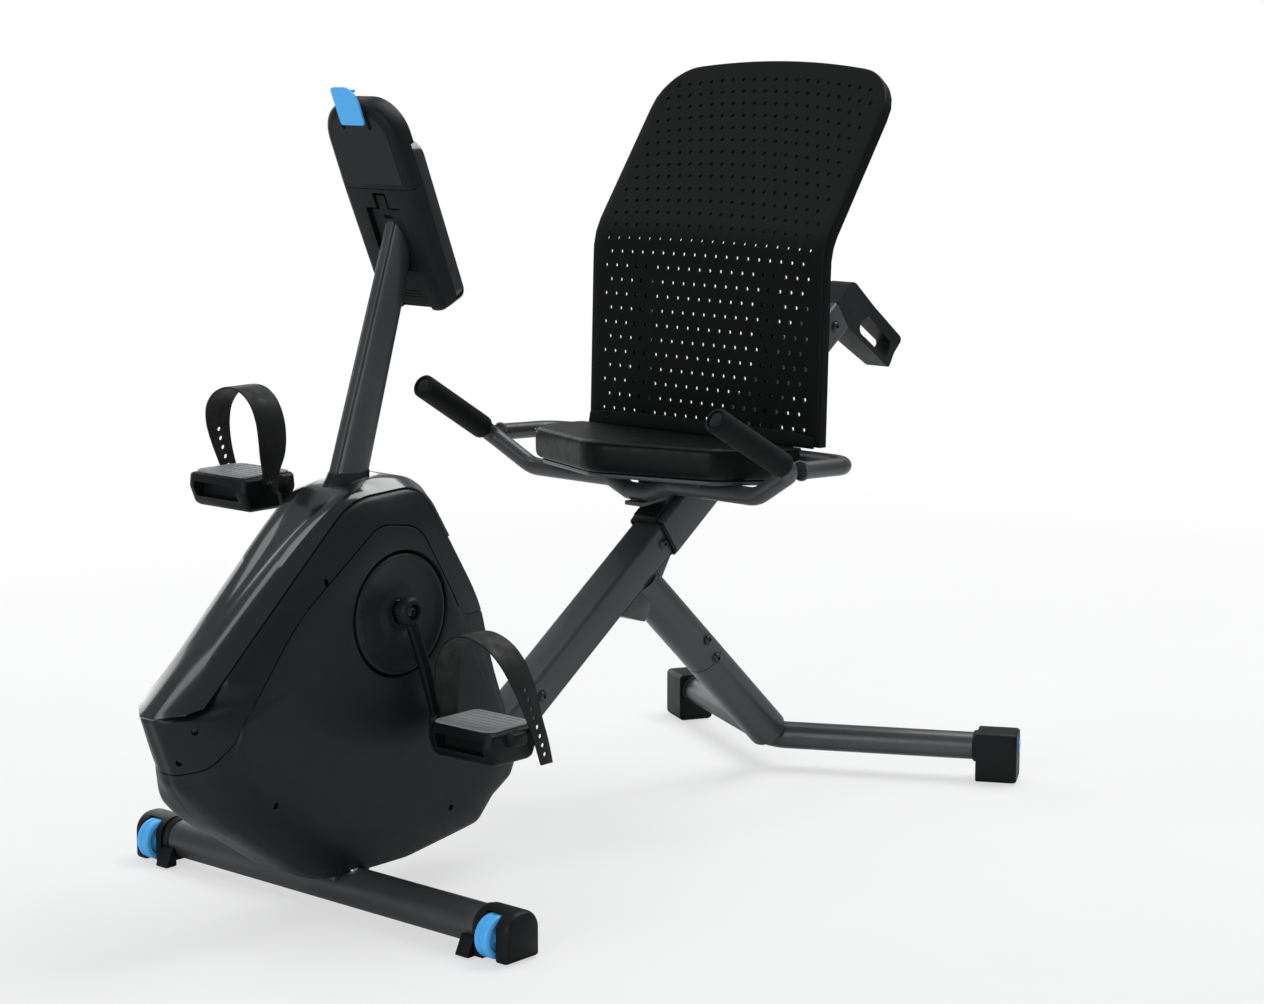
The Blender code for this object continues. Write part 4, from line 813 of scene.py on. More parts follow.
def mast_section(distance, extra=0.0, grooved=True):
    """Level section of the mast: flat front strip between two grooves, full sides, round back."""
    share = min(max(distance / MAST_TAPER, 0.0), 1.0)
    half_x = MAST_HALF_X - MAST_NARROWS[0] * share + extra
    half_y = MAST_HALF_Y - MAST_NARROWS[1] * share + extra
    points = []
    for step in range(33):
        turn = math.pi * step / 32
        a = half_x * math.sin(turn) ** 0.92 if 0 < step < 32 else 0.0
        b = -half_y * math.cos(turn)
        if grooved:
            b = max(b, -half_y + 0.0008)
            b += 0.0016 * math.exp(-((a - 0.0068) / 0.0009) ** 2) * (1.0 if b < 0.0 else 0.0)
        points.append((a, b))
    fine = []
    for (a, b), (c, d) in zip(points, points[1:]):
        fine += [(a + (c - a) * i / 4, b + (d - b) * i / 4) for i in range(4)]
    fine.append(points[-1])
    if grooved:
        fine = [(a, b + 0.0018 * math.exp(-((a - 0.0066) / 0.0008) ** 2) * (1.0 if b < 0.0 else 0.0))
                for a, b in fine]
    return fine + [(-a, b) for a, b in reversed(fine[1:-1])]


def mast_ring(distance, extra=0.0, grooved=True, to_console=False):
    """Ring of the mast at a distance up its run."""
    centre = MAST_FOOT + MAST_RUN * distance
    ring = []
    for a, b in mast_section(distance, extra, grooved):
        point = Vector((a, centre.y + b / math.sin(MAST_SLOPE), centre.z))
        if to_console:
            point += MAST_RUN * ((on_console(0.0, 0.0, 0.0075) - point).dot(OUT) / MAST_RUN.dot(OUT))
        ring.append(point)
    return ring


def mast_tool(extra):
    """Room for the mast in the housing."""
    return skin([mast_ring(d, extra, False) for d in (-0.08, 0.16)])


def make_mast():
    """Tapered steel mast with its grooved front, and the plate behind the console."""
    stops = [MAST_TOP * i / 12 for i in range(12)]
    body = skin([mast_ring(d) for d in stops] + [mast_ring(MAST_TOP, to_console=True)])
    piece("mast_tube", body, STEEL, "base", ("mast",), sharp=60.0)
    plate = prism(rectangle(0.0262, 0.0410, 0.003, 4), 0.0050, 0.0121,
                  lambda a, b, depth: on_console(a, b - 0.0710, depth))
    slot = prism(rectangle(0.0080, 0.0022, 0.001, 3), 0.000, 0.0090,
                 lambda a, b, depth: on_console(a, b - 0.0400, depth))
    piece("console_mount_plate", plate, MOULDED, "base", edge=0.0008, tools=[slot])


def make_mast_collar():
    """Moulded collar that closes the gap between mast and cover."""
    stops = ((0.086, 0.0105), (0.094, 0.0098), (0.1005, 0.0072), (0.1055, 0.0042), (0.1120, 0.0022),
             (0.1190, 0.0012), (0.1200, 0.0005))
    rings = [mast_ring(d, extra, False) for d, extra in stops]
    inner = [mast_ring(d, 0.0003, False) for d in (0.1195, 0.086)]
    made = skin(rings + inner, closed=True)
    piece("mast_collar", made, TRIM, "base", sharp=35.0)


# ---------------------------------------------------------------- base and beam
TUBE_WALL = 0.0020
BEAM_LOW_END = -0.300
BEAM_TOP_END = 0.692
STOP_BOLT = 0.1945
SIDE_BOLTS = (-0.107, STOP_BOLT, 0.668)
STRUT_SLOPE = math.radians(42.3)
STRUT_RUN = Vector((0.0, math.cos(STRUT_SLOPE), -math.sin(STRUT_SLOPE)))
STRUT_UP = Vector((0.0, math.sin(STRUT_SLOPE), math.cos(STRUT_SLOPE)))
STRUT_R = 0.029
STRUT_TOP = Vector((0.0, 0.166, 0.296))
STRUT_JOIN = 0.150
STRUT_END = 0.352
BASE_APEX = Vector((0.0, 0.440, 0.048))
BASE_R = 0.020
BASE_SWEEP = math.radians(28.1)
BASE_LEG = 0.303
FOOT_LENGTH = 0.060


def make_stabiliser():
    """Front cross tube, its end caps, wheels and wheel bolts."""
    end = CAP_INNER - 0.001
    inner = STABILISER_R - TUBE_WALL
    outer = [(-end + 2.0 * end * i / 24, STABILISER_R) for i in range(25)]
    made = turned([(-end, inner)] + outer + [(end, inner)], STABILISER, LEFT)
    piece("front_tube", made, STEEL, "base", ("front_stabiliser",))
    for sign, side in SIDES:
        make_front_cap(sign, side)
        make_wheel(sign, side)


def make_front_cap(sign, side):
    """Rounded cap with the wheel slot, a dark inner ring and a wedge lip on the floor."""
    rear = STABILISER.y + 0.0260
    front = STABILISER.y - 0.0310
    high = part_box("front_cap_" + side)[1].z
    outline = outline_2d([(front, 0.0, 0.005), (rear, 0.0, 0.005), (rear, high, 0.024),
                          (front, high, 0.025)], 8)
    stops = [(CAP_INNER + 0.0020, 0.0), (CAP_OUTER - 0.0075, 0.0), (CAP_OUTER - 0.0040, 0.0008),
             (CAP_OUTER - 0.0015, 0.0026), (CAP_OUTER, 0.0060)]
    made = skin([[Vector((sign * x, y, z)) for y, z in inset(outline, shrink)] for x, shrink in stops])
    wheel = WHEEL[sign]
    slot_low, slot_high = sorted((wheel.x - 0.0128, wheel.x + 0.0128))
    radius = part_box("transport_wheel_" + side)[1].z - wheel.z + 0.0022
    room = solid_turned([(slot_low - wheel.x, radius), (slot_high - wheel.x, radius)], wheel, LEFT)
    mouth = prism([(wheel.y - 0.050, -0.010), (wheel.y + 0.002, -0.010), (wheel.y, wheel.z + radius),
                   (wheel.y - 0.050, wheel.z + radius)], slot_low, slot_high, across_bike)
    axle_low, axle_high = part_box("wheel_axle_" + side)
    head = solid_turned([(axle_low.x - wheel.x - 0.001, 0.0050), (axle_high.x - wheel.x + 0.001, 0.0050)],
                        wheel, LEFT, 32)
    piece("end_cap_" + side, made, MOULDED, "base", ("front_cap_" + side,), edge=0.0012,
          tools=[room, mouth, head])
    ring = [(CAP_INNER - 0.0060, STABILISER_R + 0.0003), (CAP_INNER - 0.0060, STABILISER_R + 0.0012),
            (CAP_INNER - 0.0045, STABILISER_R + 0.0026), (CAP_INNER + 0.0015, STABILISER_R + 0.0030),
            (CAP_INNER + 0.0015, STABILISER_R + 0.0003)]
    made = turned(mirrored(ring, sign), STABILISER, LEFT)
    piece("cap_ring_" + side, made, RUBBER, "base")
    lip = outline_2d([(WHEEL[sign].y - 0.024, 0.0005, 0.002), (WHEEL[sign].y - 0.004, 0.0005, 0.003),
                      (WHEEL[sign].y - 0.006, 0.0250, 0.003), (WHEEL[sign].y - 0.012, 0.0250, 0.003)], 4)
    low, high = sorted((sign * (CAP_INNER - 0.0200), sign * (CAP_INNER + 0.0010)))
    piece("lever_foot_" + side, prism(lip, low, high, across_bike), MOULDED, "base", edge=0.0012)


def make_wheel(sign, side):
    """Blue transport wheel with a grooved tread, and the bolt it turns on."""
    wheel = WHEEL[sign]
    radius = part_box("transport_wheel_" + side)[1].z - wheel.z
    half = 0.0112
    profile = [(half, 0.0052), (half, 0.0090), (half - 0.0030, 0.0098),
               (half - 0.0034, radius - 0.0085), (half - 0.0004, radius - 0.0070), (half, radius - 0.0050),
               (half - 0.0012, radius - 0.0014), (half - 0.0036, radius), (0.0016, radius),
               (0.0010, radius - 0.0012)]
    profile += mirrored(profile[::-1], -1)
    piece("wheel_tyre_" + side, turned(profile, wheel, LEFT, 96), BLUE, "wheel_" + side,
          ("transport_wheel_" + side,), edge=0.0005, segments=2)
    low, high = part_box("wheel_axle_" + side)
    near, far = (low.x, high.x) if sign > 0 else (high.x, low.x)
    made = hex_bolt(Vector((far + sign * 0.001, wheel.y, wheel.z)), (sign, 0, 0), 0.0040, 0.0030,
                    abs(far - near) - 0.002, 0.0039)
    piece("wheel_bolt_" + side, made, BLACK_STEEL, "base", ("wheel_axle_" + side,), sharp=35.0)


def hex_bolt(seat, way, head_r, head_height, length, shank_r, washer_r=0.0):
    """Button-head bolt with a hexagon socket; seat is under the head and way points out of it."""
    profile = [(-length, shank_r - 0.0006), (-length + 0.0008, shank_r), (0.0, shank_r), (0.0, head_r)]
    if washer_r > 0.0:
        profile = profile[:-1] + [(0.0, washer_r - 0.0003), (0.0002, washer_r), (0.0012, washer_r),
                                  (0.0014, washer_r - 0.0003), (0.0014, head_r)]
    base = profile[-1][0]
    for angle in (10.0, 35.0, 60.0):
        turn = math.radians(angle)
        profile.append((base + head_height * math.sin(turn), head_r * (0.35 + 0.65 * math.cos(turn))))
    profile.append((base + head_height, head_r * 0.45))
    made = plain_object("bolt", solid_turned(profile, seat, way, 48))
    axis = Vector(way).normalized()
    socket = solid_turned([(base + head_height * 0.25, head_r * 0.42),
                           (base + head_height + 0.004, head_r * 0.42)], seat, axis, 6)
    cut(made, [socket])
    return taken_out(made)


def make_saddle():
    """Curved saddle between frame and cross tube, with its two bolts."""
    low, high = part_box("stabiliser_saddle")
    seat_r = STABILISER_R + 0.0005
    arc = [(STABILISER.y + seat_r * math.cos(math.radians(d)),
            STABILISER.z + seat_r * math.sin(math.radians(d))) for d in range(152, 27, -4)]
    shoulder = STABILISER.z + 0.0130
    outline = arc + [(high.y, shoulder), (high.y, high.z), (low.y, high.z), (low.y, shoulder)]
    piece("clamp_saddle", prism(outline, low.x, high.x, across_bike), STEEL, "base",
          ("stabiliser_saddle",), edge=0.0012)
    for sign, side in SIDES:
        bolt = hex_bolt(Vector((sign * (high.x + 0.0090), STABILISER.y - 0.006,
                                STABILISER.z + STABILISER_R - 0.0015)),
                        (0, -0.25, 1), 0.0062, 0.0035, 0.010, 0.0038, 0.0085)
        piece("clamp_bolt_" + side, bolt, BRIGHT_STEEL, "base", sharp=35.0)


def square_ring(distance, half, radius):
    """Rounded square across the beam."""
    return [along_beam(distance, b, a) for a, b in rectangle(half, half, radius, 5)]


def square_tube(start, finish, half, radius, inner, steps=10):
    """Square tube along the beam with its wall."""
    stops = [start + (finish - start) * i / steps for i in range(steps + 1)]
    rings = [square_ring(d, half, radius) for d in stops]
    rings += [square_ring(d, inner, max(radius - (half - inner), 0.001)) for d in reversed(stops)]
    return skin(rings, closed=True)


def make_beam():
    """Square beam with its weld-on gusset and the side bolts."""
    beam = plain_object("beam_tube", square_tube(BEAM_LOW_END, BEAM_TOP_END, BEAM_HALF, 0.0055,
                                                 BEAM_HALF - BEAM_WALL))
    below = -BEAM_HALF + 0.001
    corners = [along_beam(0.073, below), along_beam(0.205, below), along_beam(0.205, -BEAM_HALF - 0.0004),
               Vector((0.0, 0.124, 0.2710))]
    gusset = plain_object("gusset", beam_prism(corners, 0.0220))
    cut(gusset, [skin([strut_ring(d, STRUT_R + 0.0006) for d in (-0.10, 0.22)])])
    soften(gusset, 0.0015)
    bake_modifiers(gusset)
    cut(beam, [taken_out(gusset)], "UNION")
    piece("beam_tube", beam, STEEL, "base", ("main_beam",), sharp=32.0)
    for index, distance in enumerate(SIDE_BOLTS):
        parts = []
        for sign, _ in SIDES:
            seat = along_beam(distance, 0.0, sign * (BEAM_HALF + 0.0003))
            parts.append(hex_bolt(seat, (sign, 0, 0), 0.0068, 0.0032, BEAM_HALF * 0.9, 0.0038, 0.0082))
        replaced = ("stop_bolt",) if distance == STOP_BOLT else ()
        piece("beam_bolt_%d" % (index + 1), joined(parts), BLACK_STEEL, "base", replaced, sharp=35.0)
    weld_path = [along_beam(0.075 + 0.128 * i / 40, -BEAM_HALF, 0.0) for i in range(41)]
    for sign, side in SIDES:
        line = [p + Vector((sign * 0.0222, 0.0, 0.0)) + RISE * 0.0006 * math.sin(i * 2.2)
                for i, p in enumerate(weld_path)]
        piece("gusset_weld_" + side, tube(line, 0.0019, 10, 0.001), STEEL, "base", sharp=70.0)


def strut_point(distance):
    """Point on the rear strut's centre line, measured down from the beam."""
    return STRUT_TOP + STRUT_RUN * distance


def strut_ring(distance, radius):
    """Ring square to the strut."""
    return [strut_point(distance) + Vector((a, 0.0, 0.0)) + STRUT_UP * b for a, b in circle(radius)]


def make_strut():
    """Round strut in two lengths, with the joint between them and the joint's bolts."""
    below = -BEAM_HALF - 0.0004
    room = [along_beam(-0.2, below), along_beam(0.4, below), along_beam(0.4, 0.2), along_beam(-0.2, 0.2)]
    upper = strut_tube(-0.055, STRUT_JOIN - 0.0004)
    piece("strut_upper", upper, STEEL, "base", ("rear_strut_upper",), edge=0.0008, segments=2, angle=50.0,
          tools=[beam_prism(room, 0.06)])
    lower = strut_tube(STRUT_JOIN + 0.0006, STRUT_END)
    room = skin([[Vector((x, y, z)) for x, y in rectangle(0.08, 0.08, 0.0, 1)] for z in (-0.10, 0.030)])
    bmesh.ops.translate(room, vec=Vector((0.0, BASE_APEX.y, 0.0)), verts=room.verts)
    piece("strut_lower", lower, STEEL, "base", ("rear_strut_lower",), edge=0.0008, segments=2, angle=50.0,
          tools=[room])
    for index, (distance, turn) in enumerate(((0.112, 12.0), (0.146, -4.0))):
        parts = []
        for sign, _ in SIDES:
            lean = math.radians(turn)
            way = Vector((sign * math.cos(lean), 0.0, 0.0)) + STRUT_UP * math.sin(lean)
            parts.append(hex_bolt(strut_point(distance) + way * (STRUT_R + 0.0002), way, 0.0066, 0.0034,
                                  0.010, 0.0038, 0.0084))
        piece("strut_bolt_%d" % (index + 1), joined(parts), BLACK_STEEL, "base", sharp=35.0)


def strut_tube(start, finish):
    """Length of the strut with its wall."""
    stops = [start + (finish - start) * i / 12 for i in range(13)]
    rings = [strut_ring(d, STRUT_R) for d in stops]
    rings += [strut_ring(d, STRUT_R - 0.0028) for d in reversed(stops)]
    return skin(rings, closed=True)


def make_rear_base():
    """V-shaped floor tube and the foot on each leg."""
    ends = {}
    for sign, _ in SIDES:
        way = Vector((sign * math.cos(BASE_SWEEP), math.sin(BASE_SWEEP), 0.0))
        ends[sign] = (BASE_APEX + way * BASE_LEG, way)
    path = fillet_path([(ends[-1][0], 0.0), (BASE_APEX, 0.045), (ends[1][0], 0.0)], 16)
    piece("rear_floor_tube", tube(path, BASE_R, 48), STEEL, "base", ("rear_base",), sharp=60.0)
    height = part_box("rear_foot_left")[1].z
    for sign, side in SIDES:
        end, way = ends[sign]
        across = Vector((-way.y, way.x, 0.0)) * sign
        make_rear_foot(side, end, way, across, height)


def make_rear_foot(side, end, way, across, height):
    """Moulded foot with a dark collar and a small blue height tab."""
    def place(a, b, reach):
        point = end + way * reach + across * a
        return Vector((point.x, point.y, height / 2.0 + b))

    outline = rectangle(0.0275, height / 2.0, 0.0070, 6)
    stops = ((0.0005, 1.0), (FOOT_LENGTH - 0.0060, 1.0), (FOOT_LENGTH - 0.0030, 0.985),
             (FOOT_LENGTH - 0.0010, 0.955), (FOOT_LENGTH, 0.915))
    body = skin([[place(a * scale, b * scale, reach) for a, b in outline] for reach, scale in stops])
    piece("floor_foot_" + side, body, MOULDED, "base", ("rear_foot_" + side,), edge=0.0014)
    collar = [(-0.0055, BASE_R + 0.0003), (-0.0055, BASE_R + 0.0010), (-0.0035, BASE_R + 0.0028),
              (0.0002, BASE_R + 0.0034), (0.0002, BASE_R + 0.0003)]
    piece("foot_collar_" + side, turned(collar, end, way, 64), RUBBER, "base")
    tab = prism(rectangle(0.0080, 0.0075, 0.0020, 4), FOOT_LENGTH - 0.0020, FOOT_LENGTH + 0.0022,
                lambda a, b, reach: place(a, b + 0.0150, reach))
    piece("foot_tab_" + side, tab, BLUE, "base", edge=0.0008)


def make_rear_handle():
    """Moulded beam end with the carrying loop."""
    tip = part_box("rear_handle")[1]
    half = BEAM_HALF
    top = along_beam(BEAM_TOP_END + 0.0005, half)
    bottom = along_beam(BEAM_TOP_END + 0.0005, -half)
    crest = along_beam(0.748, half + 0.0005)
    outline = outline_2d([(top.y, top.z, 0.0), (crest.y, crest.z, 0.022), (tip.y + 0.0033, 0.6140, 0.007),
                          (0.6900, 0.5730, 0.009), (bottom.y, bottom.z, 0.0)], 8)
    handle = plain_object("carry_handle", prism(outline, -half, half, across_bike))
    tools = []
    for sign, _ in SIDES:
        low, high = BEAM_TOP_END + 0.004, BEAM_TOP_END + 0.080
        plan = [(low, half + 0.0001), (low + 0.025, half - 0.0022), (low + 0.050, half - 0.0065),
                (high, half - 0.0120), (high + 0.100, half - 0.0120), (high + 0.100, 0.060), (low, 0.060)]
        tools.append(skin([[along_beam(reach, height, sign * x) for reach, x in plan]
                           for height in (-0.200, 0.100)]))
    slot = outline_2d([(0.612, 0.650, 0.012), (0.640, 0.656, 0.010), (0.705, 0.609, 0.007),
                       (0.685, 0.588, 0.007), (0.610, 0.634, 0.010)], 6)
    tools.append(prism(slot, -0.05, 0.05, across_bike))
    piece("carry_handle", handle, MOULDED, "base", ("rear_handle",), edge=0.0022, segments=4,
          angle=28.0, tools=tools)


# ---------------------------------------------------------------- crank set and pedals
ARM_LOW = 0.0805
ARM_HIGH = 0.0945
PEDAL_IN = 0.1120
PEDAL_OUT = 0.2200


def make_crank_set():
    """Axle, arms, pedals, their bolts and toe straps."""
    centre = Vector((0.0, CRANK.y, CRANK.z))
    axle = solid_turned([(-0.0790, 0.0092), (-0.0780, 0.0100), (0.0780, 0.0100), (0.0790, 0.0092)], centre,
                        LEFT, 48)
    piece("crank_spindle", axle, BRIGHT_STEEL, "crank", ("crank_axle",), sharp=35.0)
    for sign, side in SIDES:
        make_crank_arm(sign, side, centre)
        end = Vector((0.0, PEDAL[sign].y, PEDAL[sign].z))
        reach = abs(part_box("pedal_axle_" + side)[0 if sign < 0 else 1].x)
        spindle = mirrored([(0.0960, 0.0082), (0.0985, 0.0082), (0.0985, 0.0060), (reach, 0.0060)], sign)
        piece("pedal_spindle_" + side, solid_turned(spindle, end, LEFT, 32), BRIGHT_STEEL, "crank",
              ("pedal_axle_" + side,), sharp=35.0)
        make_pedal(sign, side, end)
        make_strap(sign, side, end)


def make_crank_arm(sign, side, centre):
    """Forged arm: round bosses joined by a waisted bar that cranks outwards."""
    end = Vector((0.0, PEDAL[sign].y, PEDAL[sign].z))
    arm = end - centre
    length = arm.length
    arm.normalize()
    across = Vector((0.0, -arm.z, arm.y))
    rings = []
    count = 40
    for step in range(count + 1):
        share = step / count
        half = 0.0098 - 0.0022 * math.sin(math.pi * share)
        thick_low = ARM_LOW + 0.0010 + 0.0020 * smoothstep(0.1, 0.9, share)
        thick_high = ARM_HIGH - 0.0022 + 0.0022 * smoothstep(0.1, 0.9, share)
        middle = (thick_low + thick_high) / 2.0
        tall = (thick_high - thick_low) / 2.0
        ring = []
        for step_round in range(28):
            turn = math.tau * step_round / 28
            a = math.copysign(abs(math.cos(turn)) ** 0.55, math.cos(turn)) * half
            b = math.copysign(abs(math.sin(turn)) ** 0.55, math.sin(turn)) * tall
            ring.append(centre + arm * length * share + across * a + Vector((sign * (middle + b), 0.0, 0.0)))
        rings.append(ring)
    bar = plain_object("arm", skin(rings))
    boss = [(ARM_LOW, 0.0160), (ARM_LOW + 0.0020, 0.0182), (ARM_HIGH - 0.0035, 0.0182),
            (ARM_HIGH - 0.0008, 0.0168), (ARM_HIGH + 0.0014, 0.0150), (ARM_HIGH + 0.0020, 0.0135)]
    foot = [(ARM_LOW + 0.0012, 0.0110), (ARM_LOW + 0.0026, 0.0125), (ARM_HIGH - 0.0012, 0.0125),
            (ARM_HIGH + 0.0004, 0.0112)]
    cut(bar, [solid_turned(mirrored(boss, sign), centre, LEFT, 56),
              solid_turned(mirrored(foot, sign), end, LEFT, 48)], "UNION")
    well = solid_turned([(sign * (ARM_HIGH - 0.0050), 0.0095), (sign * (ARM_HIGH + 0.004), 0.0105)], centre,
                        LEFT, 48)
    piece("arm_" + side, bar, MOULDED, "crank", ("crank_arm_" + side,), tools=[well],
          edge=0.0006, segments=2, angle=45.0)
    bolt = hex_bolt(centre + Vector((sign * (ARM_HIGH - 0.0048), 0.0, 0.0)), (sign, 0, 0), 0.0078, 0.0036,
                    0.008, 0.0042)
    piece("arm_bolt_" + side, bolt, BLACK_STEEL, "crank", sharp=35.0)


def pedal_place(sign, end):
    """Turns (rear, up, out) round a pedal's spindle into a point."""
    return lambda a, b, depth: Vector((sign * depth, end.y + a, end.z + b))


def make_pedal(sign, side, end):
    """Platform with a grey tread, weighted belly and outer lug."""
    place = pedal_place(sign, end)
    body_name = "pedal_" + side
    outline = outline_2d([(-0.0420, 0.0090, 0.005), (0.0440, 0.0090, 0.005), (0.0460, -0.0100, 0.009),
                          (0.0350, -0.0350, 0.012), (-0.0340, -0.0350, 0.012), (-0.0440, -0.0100, 0.009)], 7)
    stops = ((PEDAL_IN, 0.0045), (PEDAL_IN + 0.0020, 0.0020), (PEDAL_IN + 0.0060, 0.0),
             (PEDAL_OUT - 0.0110, 0.0), (PEDAL_OUT - 0.0060, 0.0012), (PEDAL_OUT - 0.0020, 0.0040),
             (PEDAL_OUT, 0.0085))
    body = skin([[place(a, b, depth) for a, b in inset(outline, shrink)] for depth, shrink in stops])
    belly = prism(rectangle(0.0200, 0.0095, 0.0040, 4), PEDAL_IN + 0.014, PEDAL_OUT - 0.014,
                  lambda a, b, depth: place(a - 0.0520 + 0.0060, b - 0.0120, depth))
    piece("pedal_body_" + side, body, MOULDED, body_name, ("pedal_" + side,), edge=0.0010, tools=[belly])
    tread_outline = outline_2d([(-0.0385, PEDAL_IN + 0.0040, 0.010), (0.0410, PEDAL_IN + 0.0040, 0.010),
                                (0.0410, PEDAL_OUT - 0.0060, 0.016), (-0.0385, PEDAL_OUT - 0.0060, 0.016)], 7)
    rings = [[place(a, b, depth) for a, depth in inset(tread_outline, shrink)]
             for b, shrink in ((0.0085, 0.0), (0.0102, 0.0), (0.0112, 0.0010))]
    plate = plain_object("tread", skin(rings))
    groove = outline_2d([(-0.0011, PEDAL_IN + 0.010, 0.001), (0.0011, PEDAL_IN + 0.010, 0.001),
                         (0.0011, PEDAL_OUT - 0.014, 0.001), (-0.0011, PEDAL_OUT - 0.014, 0.001)], 2)
    cuts = []
    for row in range(7):
        centre_a = -0.0300 + 0.0105 * row
        cuts.append(skin([[place(centre_a + a, b, depth) for a, depth in groove] for b in (0.0100, 0.0130)]))
    piece("pedal_tread_" + side, plate, TREAD, body_name, edge=0.0006, segments=2, angle=40.0, tools=cuts)
    lug = outline_2d([(-0.0150, -0.0120, 0.005), (0.0150, -0.0120, 0.005), (0.0150, 0.0060, 0.006),
                      (-0.0150, 0.0060, 0.006)], 6)
    stops = ((PEDAL_OUT - 0.004, 0.0), (PEDAL_OUT + 0.0060, 0.0004), (PEDAL_OUT + 0.0086, 0.0016),
             (PEDAL_OUT + 0.0098, 0.0040))
    made = skin([[place(a, b, depth) for a, b in inset(lug, shrink)] for depth, shrink in stops])
    piece("pedal_lug_" + side, made, MOULDED, body_name, edge=0.0008)


# Toe strap seen from the front: place outwards, height over the spindle, rearward shift and width.
STRAP = [(0.1100, 0.0000, 0.000, 0.026), (0.1085, 0.0140, 0.000, 0.028), (0.1055, 0.0340, 0.000, 0.040),
         (0.1050, 0.0560, 0.000, 0.045), (0.1090, 0.0800, 0.000, 0.046), (0.1200, 0.1010, 0.000, 0.046),
         (0.1370, 0.1140, 0.000, 0.046), (0.1560, 0.1180, 0.000, 0.046), (0.1760, 0.1150, 0.001, 0.045),
         (0.1960, 0.1050, 0.003, 0.044), (0.2120, 0.0880, 0.006, 0.042), (0.2215, 0.0650, 0.012, 0.038),
         (0.2255, 0.0400, 0.020, 0.032), (0.2266, 0.0150, 0.029, 0.027), (0.2270, -0.0130, 0.040, 0.024),
         (0.2264, -0.0430, 0.050, 0.021)]
STRAP_THICK = 0.0024
# Section of the strap in shares of its width and thickness, with a raised bead along each edge.
STRAP_SECTION = ((-0.5, -0.42), (-0.5, 0.42), (-0.47, 0.5), (-0.40, 0.40), (0.0, 0.36), (0.40, 0.40),
                 (0.47, 0.5), (0.5, 0.42), (0.5, -0.42), (0.47, -0.5), (0.0, -0.5), (-0.47, -0.5))
STRAP_HOLES = (0.0560, -0.0300, 8)       # first and last height, and how many


def make_strap(sign, side, end):
    """Moulded strap: wide over the foot, narrow and holed on the outside, with a hanging tail."""
    stations = spline(STRAP, 6)
    line = [station[:2] for station in stations]
    rings = []
    for index, (x, z, y, width) in enumerate(stations):
        run = heading(line, index)
        normal = Vector((run.y, -run.x)) * STRAP_THICK
        ring = []
        for edge, face in STRAP_SECTION:
            ring.append(Vector((sign * (x + normal.x * face), end.y + y + width * edge,
                                end.z + z + normal.y * face)))
        rings.append(ring)
    holes = []
    tail = STRAP[9:]
    drops = [-station[1] for station in tail]
    for z in np.linspace(*STRAP_HOLES):
        x, y = (float(np.interp(-z, drops, [station[i] for station in tail])) for i in (0, 2))
        holes.append(solid_turned([(-0.006, 0.0029), (0.006, 0.0029)],
                                  Vector((sign * x, end.y + y, end.z + z)), (sign, 0, 0.12), 20))
    piece("toe_strap_" + side, skin(rings), RUBBER, "pedal_" + side, ("pedal_strap_" + side,),
          tools=holes, edge=0.0003, segments=2, angle=50.0)
    stud = solid_turned([(-0.001, 0.0052), (0.0016, 0.0052), (0.0030, 0.0040), (0.0034, 0.0012)],
                        Vector((sign * 0.1092, end.y, end.z + 0.0040)), (-sign, 0, 0), 32)
    piece("strap_stud_" + side, stud, MOULDED, "pedal_" + side, sharp=35.0)


# ---------------------------------------------------------------- console
CONSOLE_HALF = 0.062
CONSOLE_LOW = 0.168
CONSOLE_HIGH = 0.112


def console_rings(outline, stations, span):
    """Rings of one outline that draws in towards the seam; stations hold depth and inset."""
    rings = []
    for depth, shrink in stations:
        across, tall = 1.0 - shrink / CONSOLE_HALF, 1.0 - shrink / span
        rings.append([on_console(x * across, up * tall, depth) for x, up in outline])
    return rings


def console_block(outline, low, high):
    """Straight block standing on the console's plane."""
    return prism(outline, low, high, on_console)


def boxed(low_x, low_up, high_x, high_up, radius=0.0, steps=5):
    """Rounded rectangle between two corners."""
    middle_x, middle_up = (low_x + high_x) / 2.0, (low_up + high_up) / 2.0
    return [(middle_x + a, middle_up + b)
            for a, b in rectangle((high_x - low_x) / 2.0, (high_up - low_up) / 2.0, radius, steps)]


def make_console():
    """Housing halves, battery cover, bezel, screen and key."""
    half = CONSOLE_HALF
    lower = outline_2d(both_sides([(half - 0.004, -CONSOLE_LOW, 0.022), (half, -0.0004, 0.0)]), 10)
    soft = [(0.0, 0.0085), (0.0008, 0.0055), (0.0024, 0.0026), (0.0048, 0.0008), (0.0080, 0.0), (0.0220, 0.0)]
    pocket = console_block(boxed(-0.030, -0.200, 0.030, -0.026, 0.003), -0.010, 0.0125)
    latch = console_block(boxed(-0.011, -0.0300, 0.011, -0.0060, 0.0025), -0.010, 0.0110)
    slot = console_block(boxed(-0.0075, -0.0390, 0.0075, -0.0345, 0.0018), 0.0100, 0.0165)
    piece("console_lower_shell", skin(console_rings(lower, soft, CONSOLE_LOW)), MOULDED, "base",
          ("console_back",), edge=0.0009, angle=40.0, tools=[pocket, latch, slot])
    tab = console_block(boxed(-0.0098, -0.0300, 0.0050, -0.0100, 0.0020), 0.0030, 0.0075)
    piece("console_latch", tab, MOULDED, "base", edge=0.0006)
    lid = console_block(boxed(-0.0278, -0.1600, 0.0278, -0.1130, 0.0040), 0.0050, 0.0121)
    ribs = [console_block(boxed(-0.016, up, 0.016, up + 0.0016, 0.0007, 3), 0.0030, 0.0058)
            for up in (-0.150, -0.146, -0.142)]
    piece("battery_lid", lid, MOULDED, "base", ("battery_cover",), edge=0.0008, tools=ribs)
    make_console_upper()
    make_console_face()
    make_clip()


